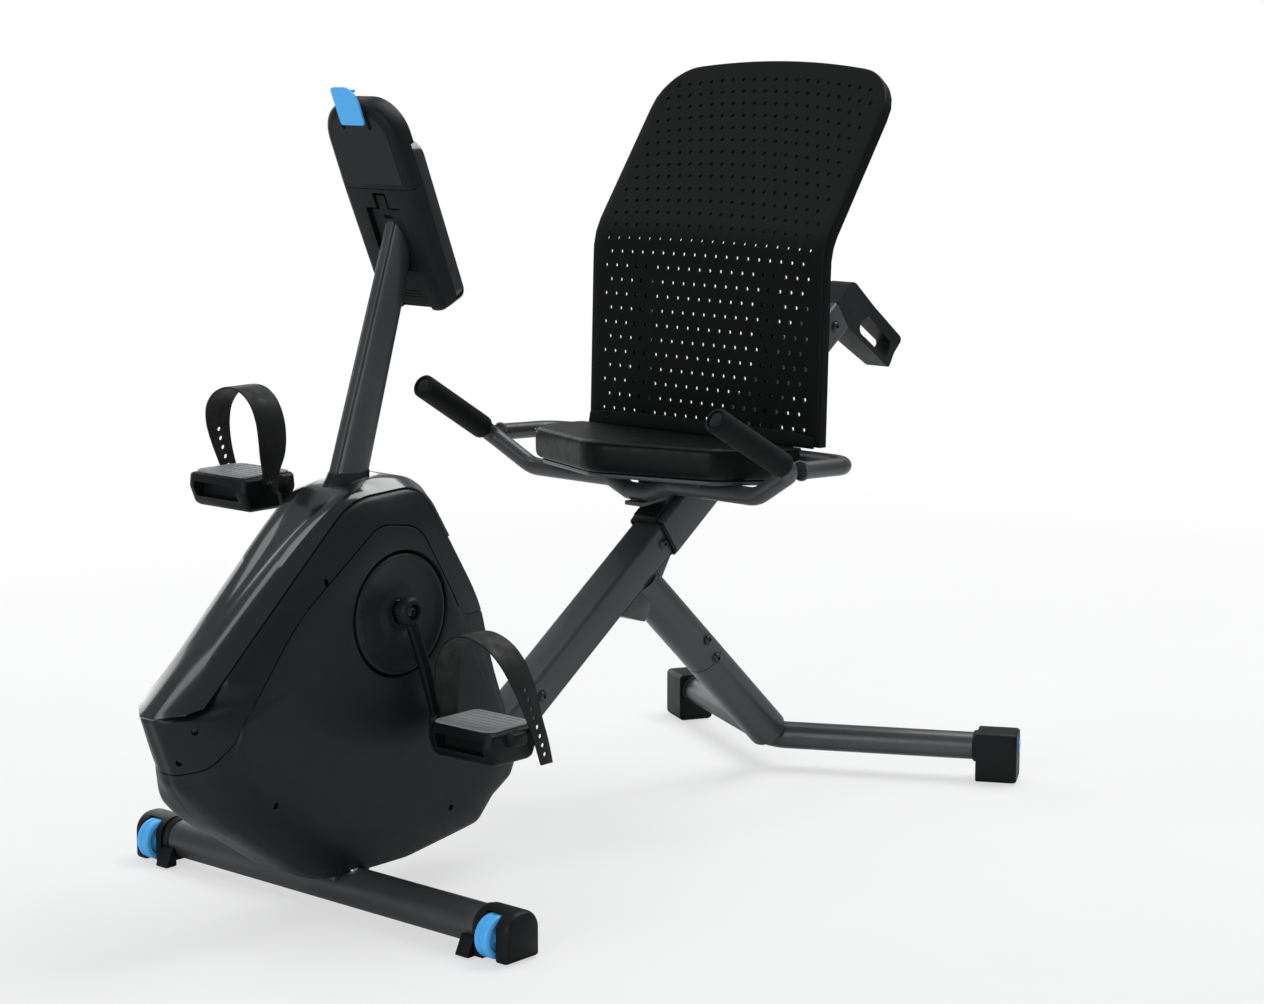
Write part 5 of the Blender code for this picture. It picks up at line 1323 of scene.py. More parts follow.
def make_console_upper():
    """Upper housing with a stepped ledge at the front and a textured field behind."""
    half = CONSOLE_HALF
    upper = outline_2d(both_sides([(half, 0.0, 0.0), (half - 0.002, CONSOLE_HIGH, 0.046)]), 12)
    soft = [(0.0, 0.0085), (0.0008, 0.0055), (0.0024, 0.0026), (0.0048, 0.0008), (0.0080, 0.0), (0.0260, 0.0),
            (0.0280, 0.0008), (0.0294, 0.0024), (0.0300, 0.0045)]
    step = console_block([(0.10, -0.02), (0.10, 0.0515), (-0.10, 0.0515), (-0.10, -0.02)], 0.0220, 0.050)
    piece("console_upper_shell", skin(console_rings(upper, soft, CONSOLE_HIGH)), MOULDED, "base",
          ("console_top",), edge=0.0009, angle=40.0, tools=[step])
    field = outline_2d(both_sides([(half - 0.0130, 0.0070, 0.003),
                                   (half - 0.0140, CONSOLE_HIGH - 0.0120, 0.036)]), 10)
    piece("console_rear_field", console_block(field, -0.0005, 0.0010), SHELL, "base", edge=0.0004)
    guide = [console_block(boxed(sign * 0.0225 - 0.0012, 0.0800, sign * 0.0225 + 0.0012, 0.1060, 0.0008),
                           -0.0030, 0.0006) for sign, _ in SIDES]
    piece("clip_guides", joined(guide), MOULDED, "base", edge=0.0004)


def make_console_face():
    """Gloss bezel, screen with its printed mask, and the round key in its ring."""
    half = CONSOLE_HALF
    front = outline_2d([(half - 0.001, 0.0510, 0.020), (-half + 0.001, 0.0510, 0.020),
                        (-half + 0.004, -CONSOLE_LOW, 0.022), (half - 0.004, -CONSOLE_LOW, 0.022)], 10)
    stops = [(0.0224, 0.0), (0.0362, 0.0), (0.0384, 0.0008), (0.0396, 0.0022), (0.0400, 0.0042)]
    bezel = skin([[on_console(x, up, depth) for x, up in inset(front, shrink)] for depth, shrink in stops])
    recess = console_block(boxed(-0.046, -0.070, 0.046, 0.034, 0.004), 0.0360, 0.050)
    well = solid_turned([(0.0, 0.0162), (0.0100, 0.0170)], on_console(0.0, KEY_UP, 0.0340), OUT, 64)
    piece("console_bezel", bezel, GLOSS, "base", ("console_front",), edge=0.0006, segments=2,
          angle=40.0, tools=[recess, well])
    window = boxed(-0.0455, -0.0695, 0.0455, 0.0335, 0.0036)
    piece("screen_glass", console_block(window, 0.0364, 0.0390), GLASS, "base", ("console_screen",),
          edge=0.0004)
    cells = [(-0.038, 0.002, 0.038, 0.027), (-0.038, -0.030, -0.002, -0.003), (0.002, -0.030, 0.038, -0.003),
             (-0.038, -0.062, -0.002, -0.035), (0.002, -0.062, 0.038, -0.035)]
    parts = [console_block(boxed(*cell, 0.0025), 0.0388, 0.0393) for cell in cells]
    piece("screen_fields", joined(parts), LCD, "base", edge=0.0002, segments=2)
    ring = turned([(0.0, 0.0163), (0.0035, 0.0163), (0.0070, 0.0172), (0.0078, 0.0186), (0.0066, 0.0196),
                   (0.0, 0.0196)], on_console(0.0, KEY_UP, 0.0335), OUT, 72)
    piece("key_ring", ring, TRIM, "base")
    dome = [(0.0, 0.0150), (0.0036, 0.0150), (0.0044, 0.0146), (0.0050, 0.0132), (0.0052, 0.0090),
            (0.0051, 0.0030)]
    piece("round_key", solid_turned(dome, on_console(0.0, KEY_UP, 0.0365), OUT, 64), RUBBER, "key",
          ("console_key",))


def make_clip():
    """Spring clip for a tablet: flat blade with one large round corner, bent over the top edge."""
    low, high = 0.0870, 0.1360
    blade = outline_2d([(-0.0205, low, 0.004), (0.0205, low, 0.004), (0.0205, high, 0.020),
                        (-0.0205, high, 0.005)], 8)
    parts = plain_object("clip_blade", prism(blade, -0.0052, -0.0022, on_console))
    path = [(-0.0046, high - 0.0105), (-0.0012, high - 0.0080), (0.0030, high - 0.0076),
            (0.0078, high - 0.0092)]
    line = spline(path, 6)
    rings = []
    for index, (depth, up) in enumerate(line):
        run = heading(line, index)
        side = Vector((-run.y, run.x)) * 0.0016
        ring = []
        for x, face in ((-0.0185, -1), (-0.0185, 1), (0.0080, 1), (0.0080, -1)):
            ring.append(on_console(x, up + side.y * face, depth + side.x * face))
        rings.append(ring)
    cut(parts, [skin(rings)], "UNION")
    piece("tablet_hook", parts, BLUE, "clip", ("tablet_clip",), edge=0.0007, angle=35.0)


# ---------------------------------------------------------------- seat carriage and handlebar
SLEEVE_START = 0.2080
SLEEVE_END = 0.4200
KNOB_REACH = 0.3300
GRIP_X = 0.274
GRIP_BASE = Vector((GRIP_X, 0.118, 0.512))
GRIP_TIP = Vector((0.264, -0.019, 0.590))
BAR_R = 0.0125
GRIP_R = 0.017
BAR_Y = 0.141
BAR_Z = 0.464


def make_carriage():
    """Sleeve on the beam, its collar, the rear slide pad and the pull knob."""
    sleeve = square_tube(SLEEVE_START, SLEEVE_END, 0.0300, 0.0060, 0.0275)
    piece("seat_slide_sleeve", sleeve, STEEL, "seat", ("seat_sleeve",), edge=0.0007, segments=2, angle=50.0)
    start = SLEEVE_START - 0.0048
    collar = plain_object("collar", square_tube(start, SLEEVE_START - 0.0004, 0.0296, 0.0060, 0.0266, 3))
    block = [along_beam(start + 0.001, 0.0282), along_beam(start + 0.004, 0.0372),
             along_beam(start + 0.026, 0.0372), along_beam(start + 0.031, 0.0308),
             along_beam(SLEEVE_START - 0.0004, 0.0308), along_beam(SLEEVE_START - 0.0004, 0.0282)]
    cut(collar, [beam_prism(block, 0.0200)], "UNION")
    piece("slide_collar", collar, MOULDED, "seat", ("sleeve_collar",), edge=0.0008, segments=2)
    pad = square_tube(SLEEVE_END - 0.0060, SLEEVE_END + 0.0020, 0.0273, 0.0030, 0.0262, 3)
    piece("slide_rear_pad", pad, MOULDED, "seat")
    make_knob()


def make_knob():
    """Pull knob with a fluted grip on a short stem, and the boss it slides in."""
    centre = along_beam(KNOB_REACH, 0.0, 0.0)
    stops = [(-0.0279, 0.0055), (-0.0345, 0.0055), (-0.0345, 0.0140), (-0.0362, 0.0158), (-0.0385, 0.0168),
             (-0.0420, 0.0172), (-0.0460, 0.0178), (-0.0540, 0.0185), (-0.0570, 0.0183), (-0.0590, 0.0172),
             (-0.0602, 0.0140), (-0.0606, 0.0080)]
    rings = []
    for x, radius in stops:
        ring = []
        for step in range(96):
            turn = math.tau * step / 96
            flute = 0.0011 * (0.5 + 0.5 * math.cos(12.0 * turn)) * smoothstep(0.0355, 0.0420, -x)
            flute *= 1.0 - smoothstep(0.0580, 0.0602, -x)
            r = radius - flute
            ring.append(Vector((x, centre.y + r * math.cos(turn), centre.z + r * math.sin(turn))))
        rings.append(ring)
    piece("pull_knob", skin(rings), MOULDED, "seat_knob", ("seat_lock_knob",))
    boss = turned([(-0.0302, 0.0068), (-0.0302, 0.0125), (-0.0318, 0.0125), (-0.0336, 0.0112),
                   (-0.0342, 0.0100), (-0.0342, 0.0068)], Vector((0.0, centre.y, centre.z)), LEFT, 48)
    piece("knob_boss", boss, BLACK_STEEL, "seat", sharp=35.0)


def handlebar_path():
    """Centre line of the left half, then of the whole bar."""
    run = (GRIP_BASE - GRIP_TIP).normalized()
    corner = GRIP_BASE + run * 0.012
    left = [(GRIP_TIP + run * 0.004, 0.0), (corner, 0.022), (Vector((0.205, BAR_Y, BAR_Z)), 0.045),
            (Vector((0.055, BAR_Y, BAR_Z)), 0.030), (Vector((0.018, BAR_Y - 0.004, BAR_Z - 0.014)), 0.0)]
    path = fillet_path(left, 14)
    return path + [Vector((-p.x, p.y, p.z)) for p in reversed(path)]


def make_handlebar():
    """Bent bar, its bracket, the loop behind the seat and the foam grips."""
    piece("grab_bar", tube(handlebar_path(), BAR_R, 40), STEEL, "seat", ("handlebar",), sharp=60.0)
    low = BAR_Z - 0.014 - BAR_R - 0.0004
    profile = [(0.125, low), (0.125, low - 0.006), (0.1745, 0.4345), (0.1785, 0.4271), (0.2250, 0.4597),
               (0.2250, 0.4690), (0.1530, 0.4700), (0.1530, low)]
    bracket = prism(profile, -0.016, 0.016, across_bike)
    window = prism(outline_2d([(0.172, 0.449, 0.004), (0.184, 0.440, 0.004), (0.211, 0.458, 0.004),
                               (0.205, 0.463, 0.003), (0.172, 0.463, 0.004)], 5), -0.030, 0.030, across_bike)
    piece("bar_bracket", bracket, STEEL, "seat", ("handlebar_bracket",), edge=0.0012, tools=[window])
    start = Vector((GRIP_X, 0.148, 0.506))
    rear = Vector((GRIP_X, 0.262, 0.500))
    loop = [(start, 0.0), (rear, 0.035)]
    loop += [(Vector((-p.x, p.y, p.z)), r) for p, r in reversed(loop)]
    piece("rear_loop", tube(fillet_path(loop, 16), BAR_R - 0.0005, 40), STEEL, "seat", ("seat_rail",),
          sharp=60.0)
    for sign, side in SIDES:
        weld = turned([(-0.0016, 0.0118), (-0.0010, 0.0140), (0.0008, 0.0140), (0.0016, 0.0118)],
                      Vector((sign * GRIP_X, 0.1475, 0.506)), (0, 1, 0), 40)
        piece("loop_weld_" + side, weld, STEEL, "seat", sharp=80.0)
        make_grip(sign, side)


def make_grip(sign, side):
    """Foam sleeve with rolled ends and a moulded plug at the rider's end."""
    base = Vector((sign * GRIP_BASE.x, GRIP_BASE.y, GRIP_BASE.z))
    tip = Vector((sign * GRIP_TIP.x, GRIP_TIP.y, GRIP_TIP.z))
    along = (base - tip).normalized()
    bore = BAR_R + 0.0003
    profile = [(0.0002, bore), (0.0002, 0.0140), (0.0009, 0.0157), (0.0022, 0.0167), (0.0042, GRIP_R)]
    profile += [(0.0042 + (0.1440 - 0.0042) * i / 20, GRIP_R) for i in range(1, 21)]
    profile += [(0.1476, 0.0166), (0.1494, 0.0156), (0.1500, 0.0144), (0.1500, bore)]
    piece("foam_grip_" + side, turned(profile, tip, along, 64), FOAM, "seat", ("grip_" + side,), sharp=60.0)
    plug = [(0.0008, 0.0035), (0.0010, 0.0085), (0.0016, 0.0104), (0.0028, 0.0104), (0.0028, 0.0122),
            (0.0039, 0.0122)]
    piece("bar_plug_" + side, solid_turned(plug, tip, along, 48), MOULDED, "seat", sharp=35.0)


# ---------------------------------------------------------------- seat
PAN_TOP = 0.4885
SEAT_FRONT = 0.026
SEAT_FALL = 0.060


def seat_plan():
    """Plan of the seat: a shallow V at the front, chamfered corners and straight sides."""
    side = [(0.165, 0.098, 0.035), (0.200, 0.172, 0.040), (0.207, 0.2450, 0.012)]
    return outline_2d([(0.0, SEAT_FRONT, 0.050)] + both_sides(side), 10)


def seat_height(y, top):
    """The seat falls slightly towards the backrest."""
    return top - (y - SEAT_FRONT) * SEAT_FALL


def seat_layer(shrink, top):
    """Plan of the seat at one height."""
    return [Vector((x, y, seat_height(y, top))) for x, y in inset(seat_plan(), shrink)]


def make_seat():
    """Steel pan with a rolled edge, padded cushion with its seam, and bolts under the pan."""
    pan = skin([seat_layer(0.0130, PAN_TOP - 0.0058), seat_layer(0.0118, PAN_TOP - 0.0040),
                seat_layer(0.0118, PAN_TOP - 0.0008), seat_layer(0.0128, PAN_TOP)])
    piece("seat_base_pan", pan, STEEL, "seat", ("seat_pan",), edge=0.0006, segments=2)
    make_cushion()
    bolts = []
    for x in (-0.120, 0.120):
        for y in (0.120, 0.215):
            seat = Vector((x, y, seat_height(y, PAN_TOP - 0.0062)))
            bolts.append(hex_bolt(seat, (0, 0, -1), 0.0058, 0.0030, 0.003, 0.0030, 0.0080))
    piece("pan_bolts", joined(bolts), BLACK_STEEL, "seat", sharp=35.0)


CUSHION_LOW = PAN_TOP + 0.0010
CUSHION_HIGH = 0.5335
SEAM_HEIGHT = 0.5302
CUSHION_REACH = 0.0060          # how far the padding may swell
CUSHION_CELL = 0.0055           # spacing of the cover's mesh before it is rounded
CLOTH_FRAMES = 20


def cushion_start():
    """Slightly small block the padding is blown up from."""
    layers = ((CUSHION_LOW, 0.0065), (CUSHION_LOW + 0.0040, 0.0022), (CUSHION_LOW + 0.0200, 0.0018),
              (SEAM_HEIGHT, 0.0018), (CUSHION_HIGH, 0.0070))
    return skin([seat_layer(shrink, top) for top, shrink in layers])


def blow_up(item, start_points):
    """Short pressure run that stretches the cover, held within a few millimetres."""
    cloth = item.modifiers.new("cover", "CLOTH")
    cloth.settings.quality = 6
    cloth.settings.mass = 0.30
    cloth.settings.tension_stiffness = 40.0
    cloth.settings.compression_stiffness = 40.0
    cloth.settings.bending_stiffness = 6.0
    cloth.settings.use_pressure = True
    cloth.settings.uniform_pressure_force = 4.0
    cloth.settings.effector_weights.gravity = 0.0
    cloth.settings.vertex_group_mass = "held"
    cloth.point_cache.frame_start = 1
    cloth.point_cache.frame_end = CLOTH_FRAMES
    for number in range(1, CLOTH_FRAMES + 1):
        bpy.context.scene.frame_set(number)
    shown = item.evaluated_get(bpy.context.evaluated_depsgraph_get())
    moved = np.array([v.co for v in shown.data.vertices])
    item.modifiers.remove(cloth)
    bpy.context.scene.frame_set(1)
    shift = moved - start_points
    size = np.linalg.norm(shift, axis=1, keepdims=True)
    return start_points + shift * np.minimum(1.0, CUSHION_REACH / np.maximum(size, 1e-9))


def make_cushion():
    """Foam cushion under a stretched cover, with its welt seam."""
    item = plain_object("padded_seat", cushion_start())
    remesh = item.modifiers.new("even", "REMESH")
    remesh.mode = "VOXEL"
    remesh.voxel_size = CUSHION_CELL
    bake_modifiers(item)
    smooth = item.modifiers.new("even_out", "SMOOTH")
    smooth.factor = 0.5
    smooth.iterations = 3
    bake_modifiers(item)
    points = np.array([v.co for v in item.data.vertices])
    group = item.vertex_groups.new(name="held")
    for index, point in enumerate(points):
        above = point[2] - seat_height(point[1], CUSHION_LOW)
        seam = abs(point[2] - seat_height(point[1], SEAM_HEIGHT))
        hold = 1.0 if above < 0.0035 else 0.0
        hold = max(hold, 0.85 * (1.0 - min(seam / 0.006, 1.0)))
        if hold > 0.0:
            group.add([index], hold, "REPLACE")
    points = blow_up(item, points)
    for vertex, place in zip(item.data.vertices, points):
        vertex.co = place
    item.modifiers.new("rounder", "SUBSURF").levels = 1
    bake_modifiers(item)
    cushion = piece("padded_seat", taken_out(item), VINYL, "seat", ("seat_cushion",), sharp=75.0)
    piece("seat_welt", closed_tube(seat_layer(0.0022, SEAM_HEIGHT), 0.0013, 10), VINYL, "seat", sharp=70.0)


def closed_tube(path, radius, sides):
    """Thin round bead that runs round a closed loop."""
    rings = []
    count = len(path)
    for index, point in enumerate(path):
        run = (path[(index + 1) % count] - path[index - 1]).normalized()
        side = run.cross(Vector((0.0, 0.0, 1.0))).normalized()
        up = side.cross(run).normalized()
        rings.append([point + side * a + up * b for a, b in circle(radius, sides)])
    return skin(rings, closed=True)


# ---------------------------------------------------------------- backrest
BACK_HALF = 0.210
BACK_TOTAL = 0.564
BACK_CORNER = 0.060
BACK_CROWN = 0.022
BACK_LINE = fillet_path([(Vector((0.268, 0.516, 0.0)), 0.0), (Vector((0.276, 0.790, 0.0)), 0.090),
                         (Vector((0.452, 1.036, 0.0)), 0.0)], 24)
BACK_LENGTHS = [0.0]
for first, second in zip(BACK_LINE, BACK_LINE[1:]):
    BACK_LENGTHS.append(BACK_LENGTHS[-1] + (second - first).length)
HOLE_COLUMNS = 20
HOLE_PITCH = 0.0193
HOLE_ROWS = 26
ROW_PITCH = 0.0204
FIRST_ROW = 0.0120
HOLE_R = 0.0030
SHEET_LOW = 0.0045
SHEET_HIGH = 0.0078
RIM_DEPTH = 0.0180
RIM_WALL = 0.0030
UPRIGHT_X = 0.115               # flat bars behind the panel
SKIRT_HALF = 0.205              # strip between rail and panel: half width, foot, rise and thickness
SKIRT_FOOT = Vector((0.0, 0.2625, 0.5150))
SKIRT_RISE = 0.020
SKIRT_FRONT = -0.0025
SKIRT_THICK = 0.0040


def back_point(x, distance, depth=0.0):
    """Point on the backrest: across, up from its lower edge along the bend, and behind its face."""
    target = distance * BACK_LENGTHS[-1] / BACK_TOTAL
    index = min(max(int(np.searchsorted(BACK_LENGTHS, target)) - 1, 0), len(BACK_LINE) - 2)
    first, second = BACK_LINE[index], BACK_LINE[index + 1]
    share = (target - BACK_LENGTHS[index]) / (BACK_LENGTHS[index + 1] - BACK_LENGTHS[index])
    point = first.lerp(second, share)
    ahead = BACK_LINE[min(index + 2, len(BACK_LINE) - 1)] - BACK_LINE[max(index - 1, 0)]
    run = ahead.normalized()
    return Vector((x, point.x + run.y * depth, point.y - run.x * depth))


def sheet(distance):
    """Thickness of the panel, which is heavier above the bend."""
    return SHEET_LOW + (SHEET_HIGH - SHEET_LOW) * smoothstep(0.44, 0.56, distance / BACK_TOTAL)


def crown_drop(x, distance):
    """How far a row falls away from the middle, growing towards the top edge."""
    return BACK_CROWN * (x / BACK_HALF) ** 2 * smoothstep(0.25, 1.0, distance / BACK_TOTAL)


def back_outline(margin):
    """Edge of the panel drawn in by a margin, counter-clockwise from the lower left."""
    half, radius = BACK_HALF - margin, BACK_CORNER - margin
    corner_x = half - radius
    points = [(-half, margin), (half, margin)]
    top = BACK_TOTAL - margin
    for step in range(13):
        turn = math.radians(90.0 * step / 12)
        points.append((corner_x + radius * math.cos(turn), top - radius + radius * math.sin(turn)))
    for step in range(13):
        turn = math.radians(90.0 + 90.0 * step / 12)
        points.append((-corner_x + radius * math.cos(turn), top - radius + radius * math.sin(turn)))
    return points


def edge_point(outline, x, distance):
    """Where the ray from the panel's middle through a point meets the outline."""
    middle = Vector((0.0, BACK_TOTAL / 2.0))
    way = Vector((x, distance)) - middle
    best = None
    for first, second in zip(outline, outline[1:] + outline[:1]):
        a, b = Vector(first), Vector(second)
        side = b - a
        cross = way.x * side.y - way.y * side.x
        if abs(cross) < 1e-12:
            continue
        gap = a - middle
        reach = (gap.x * side.y - gap.y * side.x) / cross
        share = (gap.x * way.y - gap.y * way.x) / cross
        if reach > 0.0 and -1e-6 <= share <= 1.000001:
            best = reach if best is None else min(best, reach)
    return middle.x + way.x * best, middle.y + way.y * best


def make_back_panel():
    """Perforated panel with staggered rows of round holes and a folded rim."""
    made = bmesh.new()
    half_columns = HOLE_COLUMNS * 2
    half_pitch = HOLE_PITCH / 2.0
    inner = back_outline(0.0060)
    faces = {}

    def grid_place(column, row):
        x = (column - HOLE_COLUMNS) * half_pitch
        distance = FIRST_ROW + row * ROW_PITCH
        if row in (0, HOLE_ROWS) or column in (0, half_columns):
            limit = edge_point(inner, x, distance)
            middle = BACK_TOTAL / 2.0
            if abs(limit[0]) + abs(limit[1] - middle) < abs(x) + abs(distance - middle):
                x, distance = limit
        return x, distance

    def vertex(key, x, distance, side):
        if key not in faces:
            depth = sheet(distance) if side == "back" else 0.0
            faces[key] = made.verts.new(back_point(x, distance - crown_drop(x, distance), depth))
        return faces[key]

    def grid(column, row, side):
        x, distance = grid_place(column, row)
        return vertex(("grid", column, row, side), x, distance, side)

    def add(corners, side):
        made.faces.new(corners if side == "back" else list(reversed(corners)))

    for row in range(HOLE_ROWS):
        start = row % 2
        if start:
            for side in ("front", "back"):
                for column in (0, half_columns - 1):
                    add([grid(column, row, side), grid(column, row + 1, side),
                         grid(column + 1, row + 1, side), grid(column + 1, row, side)], side)
        for column in range(start, half_columns - 1, 2):
            hole_x = (column + 1 - HOLE_COLUMNS) * half_pitch
            hole_at = FIRST_ROW + (row + 0.5) * ROW_PITCH
            rings = {}
            for side in ("front", "back"):
                ring = []
                for step in range(16):
                    turn = math.tau * step / 16
                    ring.append(vertex(("hole", row, column, step, side), hole_x + HOLE_R * math.cos(turn),
                                       hole_at + HOLE_R * math.sin(turn), side))
                rings[side] = ring
                low = [grid(column + i, row, side) for i in range(3)]
                high = [grid(column + i, row + 1, side) for i in range(3)]
                add([high[1], high[2], ring[2], ring[3], ring[4]], side)
                add([high[0], high[1], ring[4], ring[5], ring[6]], side)
                add([low[0], high[0], ring[6], ring[7], ring[8], ring[9], ring[10]], side)
                add([low[1], low[0], ring[10], ring[11], ring[12]], side)
                add([low[2], low[1], ring[12], ring[13], ring[14]], side)
                add([high[2], low[2], ring[14], ring[15], ring[0], ring[1], ring[2]], side)
            for step in range(16):
                after = (step + 1) % 16
                made.faces.new([rings["front"][step], rings["front"][after], rings["back"][after],
                                rings["back"][step]])
    add_rim(made, grid_place, grid, half_columns)
    bmesh.ops.recalc_face_normals(made, faces=made.faces[:])
    return made


def add_rim(made, grid_place, grid, half_columns):
    """Border round the holes, folded back and closed behind."""
    keys = [(column, 0) for column in range(half_columns)]
    keys += [(half_columns, row) for row in range(HOLE_ROWS)]
    keys += [(column, HOLE_ROWS) for column in range(half_columns, 0, -1)]
    keys += [(0, row) for row in range(HOLE_ROWS, 0, -1)]
    profile = [(0.0030, 0.0), (0.0012, 0.0006), (0.0003, 0.0018), (0.0, 0.0036), (0.0, RIM_DEPTH - 0.0010),
               (0.0008, RIM_DEPTH), (RIM_WALL - 0.0006, RIM_DEPTH), (RIM_WALL, RIM_DEPTH - 0.0010),
               (RIM_WALL, SHEET_HIGH + 0.0012), (RIM_WALL + 0.0010, SHEET_HIGH + 0.0002)]
    loops = [[grid(column, row, "front") for column, row in keys]]
    for margin, depth in profile:
        outline = back_outline(margin)
        loop = []
        for column, row in keys:
            x, distance = edge_point(outline, *grid_place(column, row))
            if row == 0 and column in (0, half_columns):
                x, distance = math.copysign(BACK_HALF - margin, x), margin
            loop.append(made.verts.new(back_point(x, distance - crown_drop(x, distance), depth)))
        loops.append(loop)
    loops.append([grid(column, row, "back") for column, row in keys])
    count = len(keys)
    for first, second in zip(loops, loops[1:]):
        for index in range(count):
            after = (index + 1) % count
            made.faces.new([first[index], first[after], second[after], second[index]])


def make_backrest():
    """Panel, the two flat uprights that carry it and their bolts."""
    piece("back_panel", make_back_panel(), PANEL, "seat", ("backrest_panel",), sharp=35.0)
    make_rear_skirt()
    for sign, side in SIDES:
        make_upright(sign, side)


def make_rear_skirt():
    """Moulded strip that closes the gap between the rail and the lower edge of the panel."""
    rings = []
    for step in range(25):
        x = SKIRT_HALF * (step / 12.0 - 1.0)
        drop = 0.006 * (abs(x) / SKIRT_HALF) ** 8
        low = SKIRT_FOOT + Vector((x, 0.0, 0.0))
        high = back_point(x, SKIRT_RISE - drop, SKIRT_FRONT)
        run = (high - low).normalized()
        face = Vector((0.0, -run.z, run.y))
        outline = rectangle((high - low).length / 2.0, SKIRT_THICK / 2.0, 0.0014, 3)
        rings.append([low.lerp(high, 0.5) + run * along + face * out for along, out in outline])
    piece("rear_skirt", skin(rings), PANEL, "seat", sharp=45.0)


def make_upright(sign, side):
    """Flat bar bent up from under the pan and bolted to the back of the panel."""
    x = sign * UPRIGHT_X
    bottom = seat_height(0.190, PAN_TOP - 0.0066)
    corners = [(Vector((x, 0.150, seat_height(0.150, PAN_TOP - 0.0084))), 0.0),
               (Vector((x, 0.2905, seat_height(0.290, PAN_TOP - 0.0084))), 0.016),
               (back_point(x, 0.050, SHEET_LOW + 0.0023), 0.012)]
    path = fillet_path(corners, 8)
    path += [back_point(x, 0.050 + 0.180 * i / 12, SHEET_LOW + 0.0023) for i in range(1, 13)]
    rings = []
    for index, point in enumerate(path):
        run = heading(path, index)
        face = Vector((0.0, run.z, -run.y))
        rings.append([point + Vector((a, 0.0, 0.0)) + face * b
                      for a, b in rectangle(0.0140, 0.0020, 0.0006, 2)])
    piece("back_upright_" + side, skin(rings), STEEL, "seat", edge=0.0005, segments=2, angle=50.0)
    bolts = []
    for distance in (0.090, 0.150, 0.210):
        seat = back_point(x, distance, SHEET_LOW + 0.0045)
        way = back_point(x, distance, SHEET_LOW + 0.0145) - seat
        bolts.append(hex_bolt(seat, tuple(way), 0.0058, 0.0030, 0.003, 0.0030, 0.0076))
    seat = Vector((x, 0.176, bottom - 0.0036))
    bolts.append(hex_bolt(seat, (0, 0, -1), 0.0058, 0.0030, 0.003, 0.0030, 0.0076))
    piece("upright_bolts_" + side, joined(bolts), BLACK_STEEL, "seat", sharp=35.0)


BUILDERS = (make_fairing, lambda: [make_shell(sign, side) for sign, side in SIDES], make_housing_screws,
            make_gloss_cover, make_crank_covers, make_mast, make_mast_collar, make_stabiliser, make_saddle,
            make_beam, make_strut, make_rear_base, make_rear_handle, make_crank_set, make_console,
            make_carriage, make_handlebar, make_seat, make_backrest)


# ---------------------------------------------------------------- room, light and camera
FLOOR_LEVEL = -0.0015
FLOOR_REACH = 30.0
SURROUND = 0.34                 # strength of the surround as light
LIGHTS = (("rear_softbox", (0.3, 1.5, 3.1), 75.0, 2.2), ("crown_light", (-1.4, -1.1, 3.2), 12.0, 1.3),
          ("front_fill", (0.9, -4.1, 1.5), 55.0, 2.4), ("side_panel", (-3.4, 1.0, 1.1), 55.0, 3.2))


def make_room():
    """Plain pale floor that fades into a white surround, and soft studio light."""
    ends = (-FLOOR_REACH, FLOOR_REACH)
    floor = skin([[(x, y, FLOOR_LEVEL) for x in ends] for y in ends], caps=False, wrap=False)
    ground = plain_object("floor", floor)
    ground.data.materials.append(floor_finish())
    world = bpy.data.worlds.new("studio")
    world.use_nodes = True
    tree = world.node_tree
    dim = tree.nodes["Background"]
    dim.inputs["Color"].default_value = (0.93, 0.97, 1.0, 1.0)
    dim.inputs["Strength"].default_value = SURROUND
    white = add_node(tree, "ShaderNodeBackground", Color=(1.0, 1.0, 1.0, 1.0), Strength=1.0)
    seen = add_node(tree, "ShaderNodeLightPath")
    mix = add_node(tree, "ShaderNodeMixShader")
    wire(tree, seen, "Is Camera Ray", mix, "Fac")
    wire(tree, dim, "Background", mix, 1)
    wire(tree, white, "Background", mix, 2)
    tree.links.new(mix.outputs["Shader"], tree.nodes["World Output"].inputs["Surface"])
    bpy.context.scene.world = world
    bpy.context.scene.view_settings.view_transform = "Standard"
    for light in LIGHTS:
        add_light(*light)


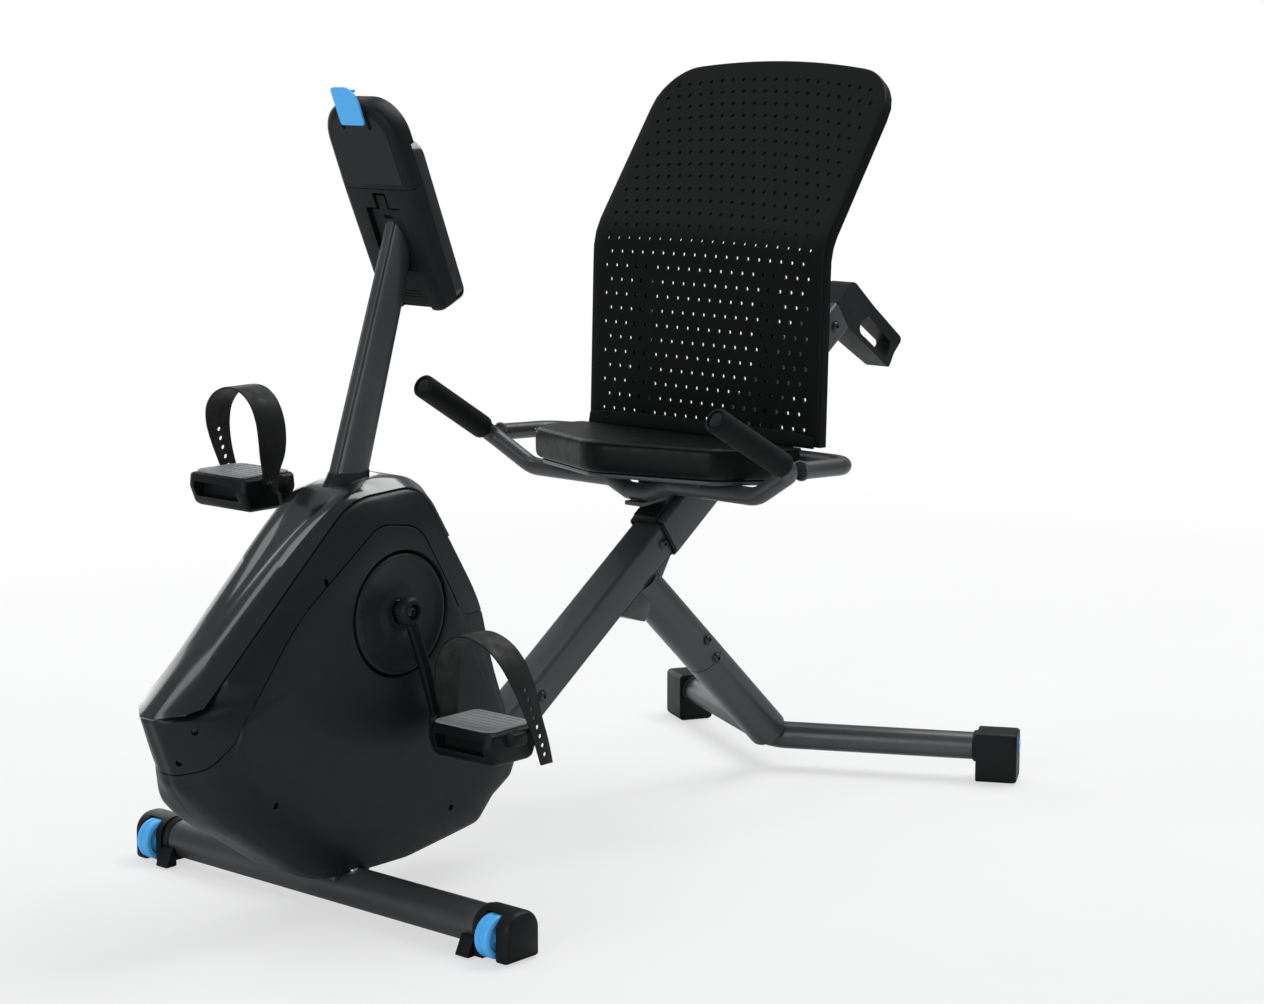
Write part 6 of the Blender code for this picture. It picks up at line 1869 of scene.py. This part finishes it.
def floor_finish():
    """Pale floor whose far part turns plain white to the eye, so no horizon shows."""
    material = surface("pale_floor", (0.80, 0.80, 0.80), 0.75, shade=0.02, spread=1.5, grain=300.0,
                       depth=0.00002)
    tree = material.node_tree
    place = add_node(tree, "ShaderNodeTexCoord")
    reach = add_node(tree, "ShaderNodeVectorMath", operation="LENGTH")
    fade = add_node(tree, "ShaderNodeMapRange", From_Min=0.9, From_Max=3.2, interpolation_type="SMOOTHSTEP",
                    To_Min=0.60)
    seen = add_node(tree, "ShaderNodeLightPath")
    both = add_node(tree, "ShaderNodeMath", operation="MULTIPLY")
    white = add_node(tree, "ShaderNodeEmission", Color=(1.0, 1.0, 1.0, 1.0), Strength=1.0)
    mix = add_node(tree, "ShaderNodeMixShader")
    wire(tree, place, "Object", reach, 0)
    wire(tree, reach, "Value", fade, "Value")
    wire(tree, fade, "Result", both, 0)
    wire(tree, seen, "Is Camera Ray", both, 1)
    wire(tree, both, "Value", mix, "Fac")
    tree.links.new(tree.nodes["Principled BSDF"].outputs["BSDF"], mix.inputs[1])
    wire(tree, white, "Emission", mix, 2)
    tree.links.new(mix.outputs["Shader"], tree.nodes["Material Output"].inputs["Surface"])
    return material


def add_light(name, place, power, size):
    """Square area light aimed at the middle of the bike."""
    lamp = bpy.data.lights.new(name, "AREA")
    lamp.energy = power
    lamp.size = size
    item = bpy.data.objects.new(name, lamp)
    item.location = place
    item.rotation_mode = "QUATERNION"
    item.rotation_quaternion = (Vector((0.0, 0.0, 0.5)) - Vector(place)).to_track_quat("-Z", "Y")
    bpy.context.scene.collection.objects.link(item)


CAMERA_PLACE = Vector((2.5577, -2.8025, 1.0889))
CAMERA_AZIMUTH = math.radians(41.17)
CAMERA_ELEVATION = math.radians(9.526)
CAMERA_ROLL = math.radians(0.06)
CAMERA_LENS = 81.39


def make_camera():
    """Camera at a standing person's view of the front left corner."""
    lens = bpy.data.cameras.new("camera")
    lens.lens = CAMERA_LENS
    lens.sensor_width = 36.0
    item = bpy.data.objects.new("camera", lens)
    flat = math.cos(CAMERA_ELEVATION)
    back = Vector((math.sin(CAMERA_AZIMUTH) * flat, -math.cos(CAMERA_AZIMUTH) * flat,
                   math.sin(CAMERA_ELEVATION)))
    item.location = CAMERA_PLACE
    item.rotation_mode = "QUATERNION"
    roll = Matrix.Rotation(CAMERA_ROLL, 3, "Z").to_quaternion()
    item.rotation_quaternion = (-back).to_track_quat("-Z", "Y") @ roll
    bpy.context.scene.collection.objects.link(item)
    bpy.context.scene.camera = item


finish_cad_nodes()
for build in BUILDERS:
    build()
make_room()
make_camera()
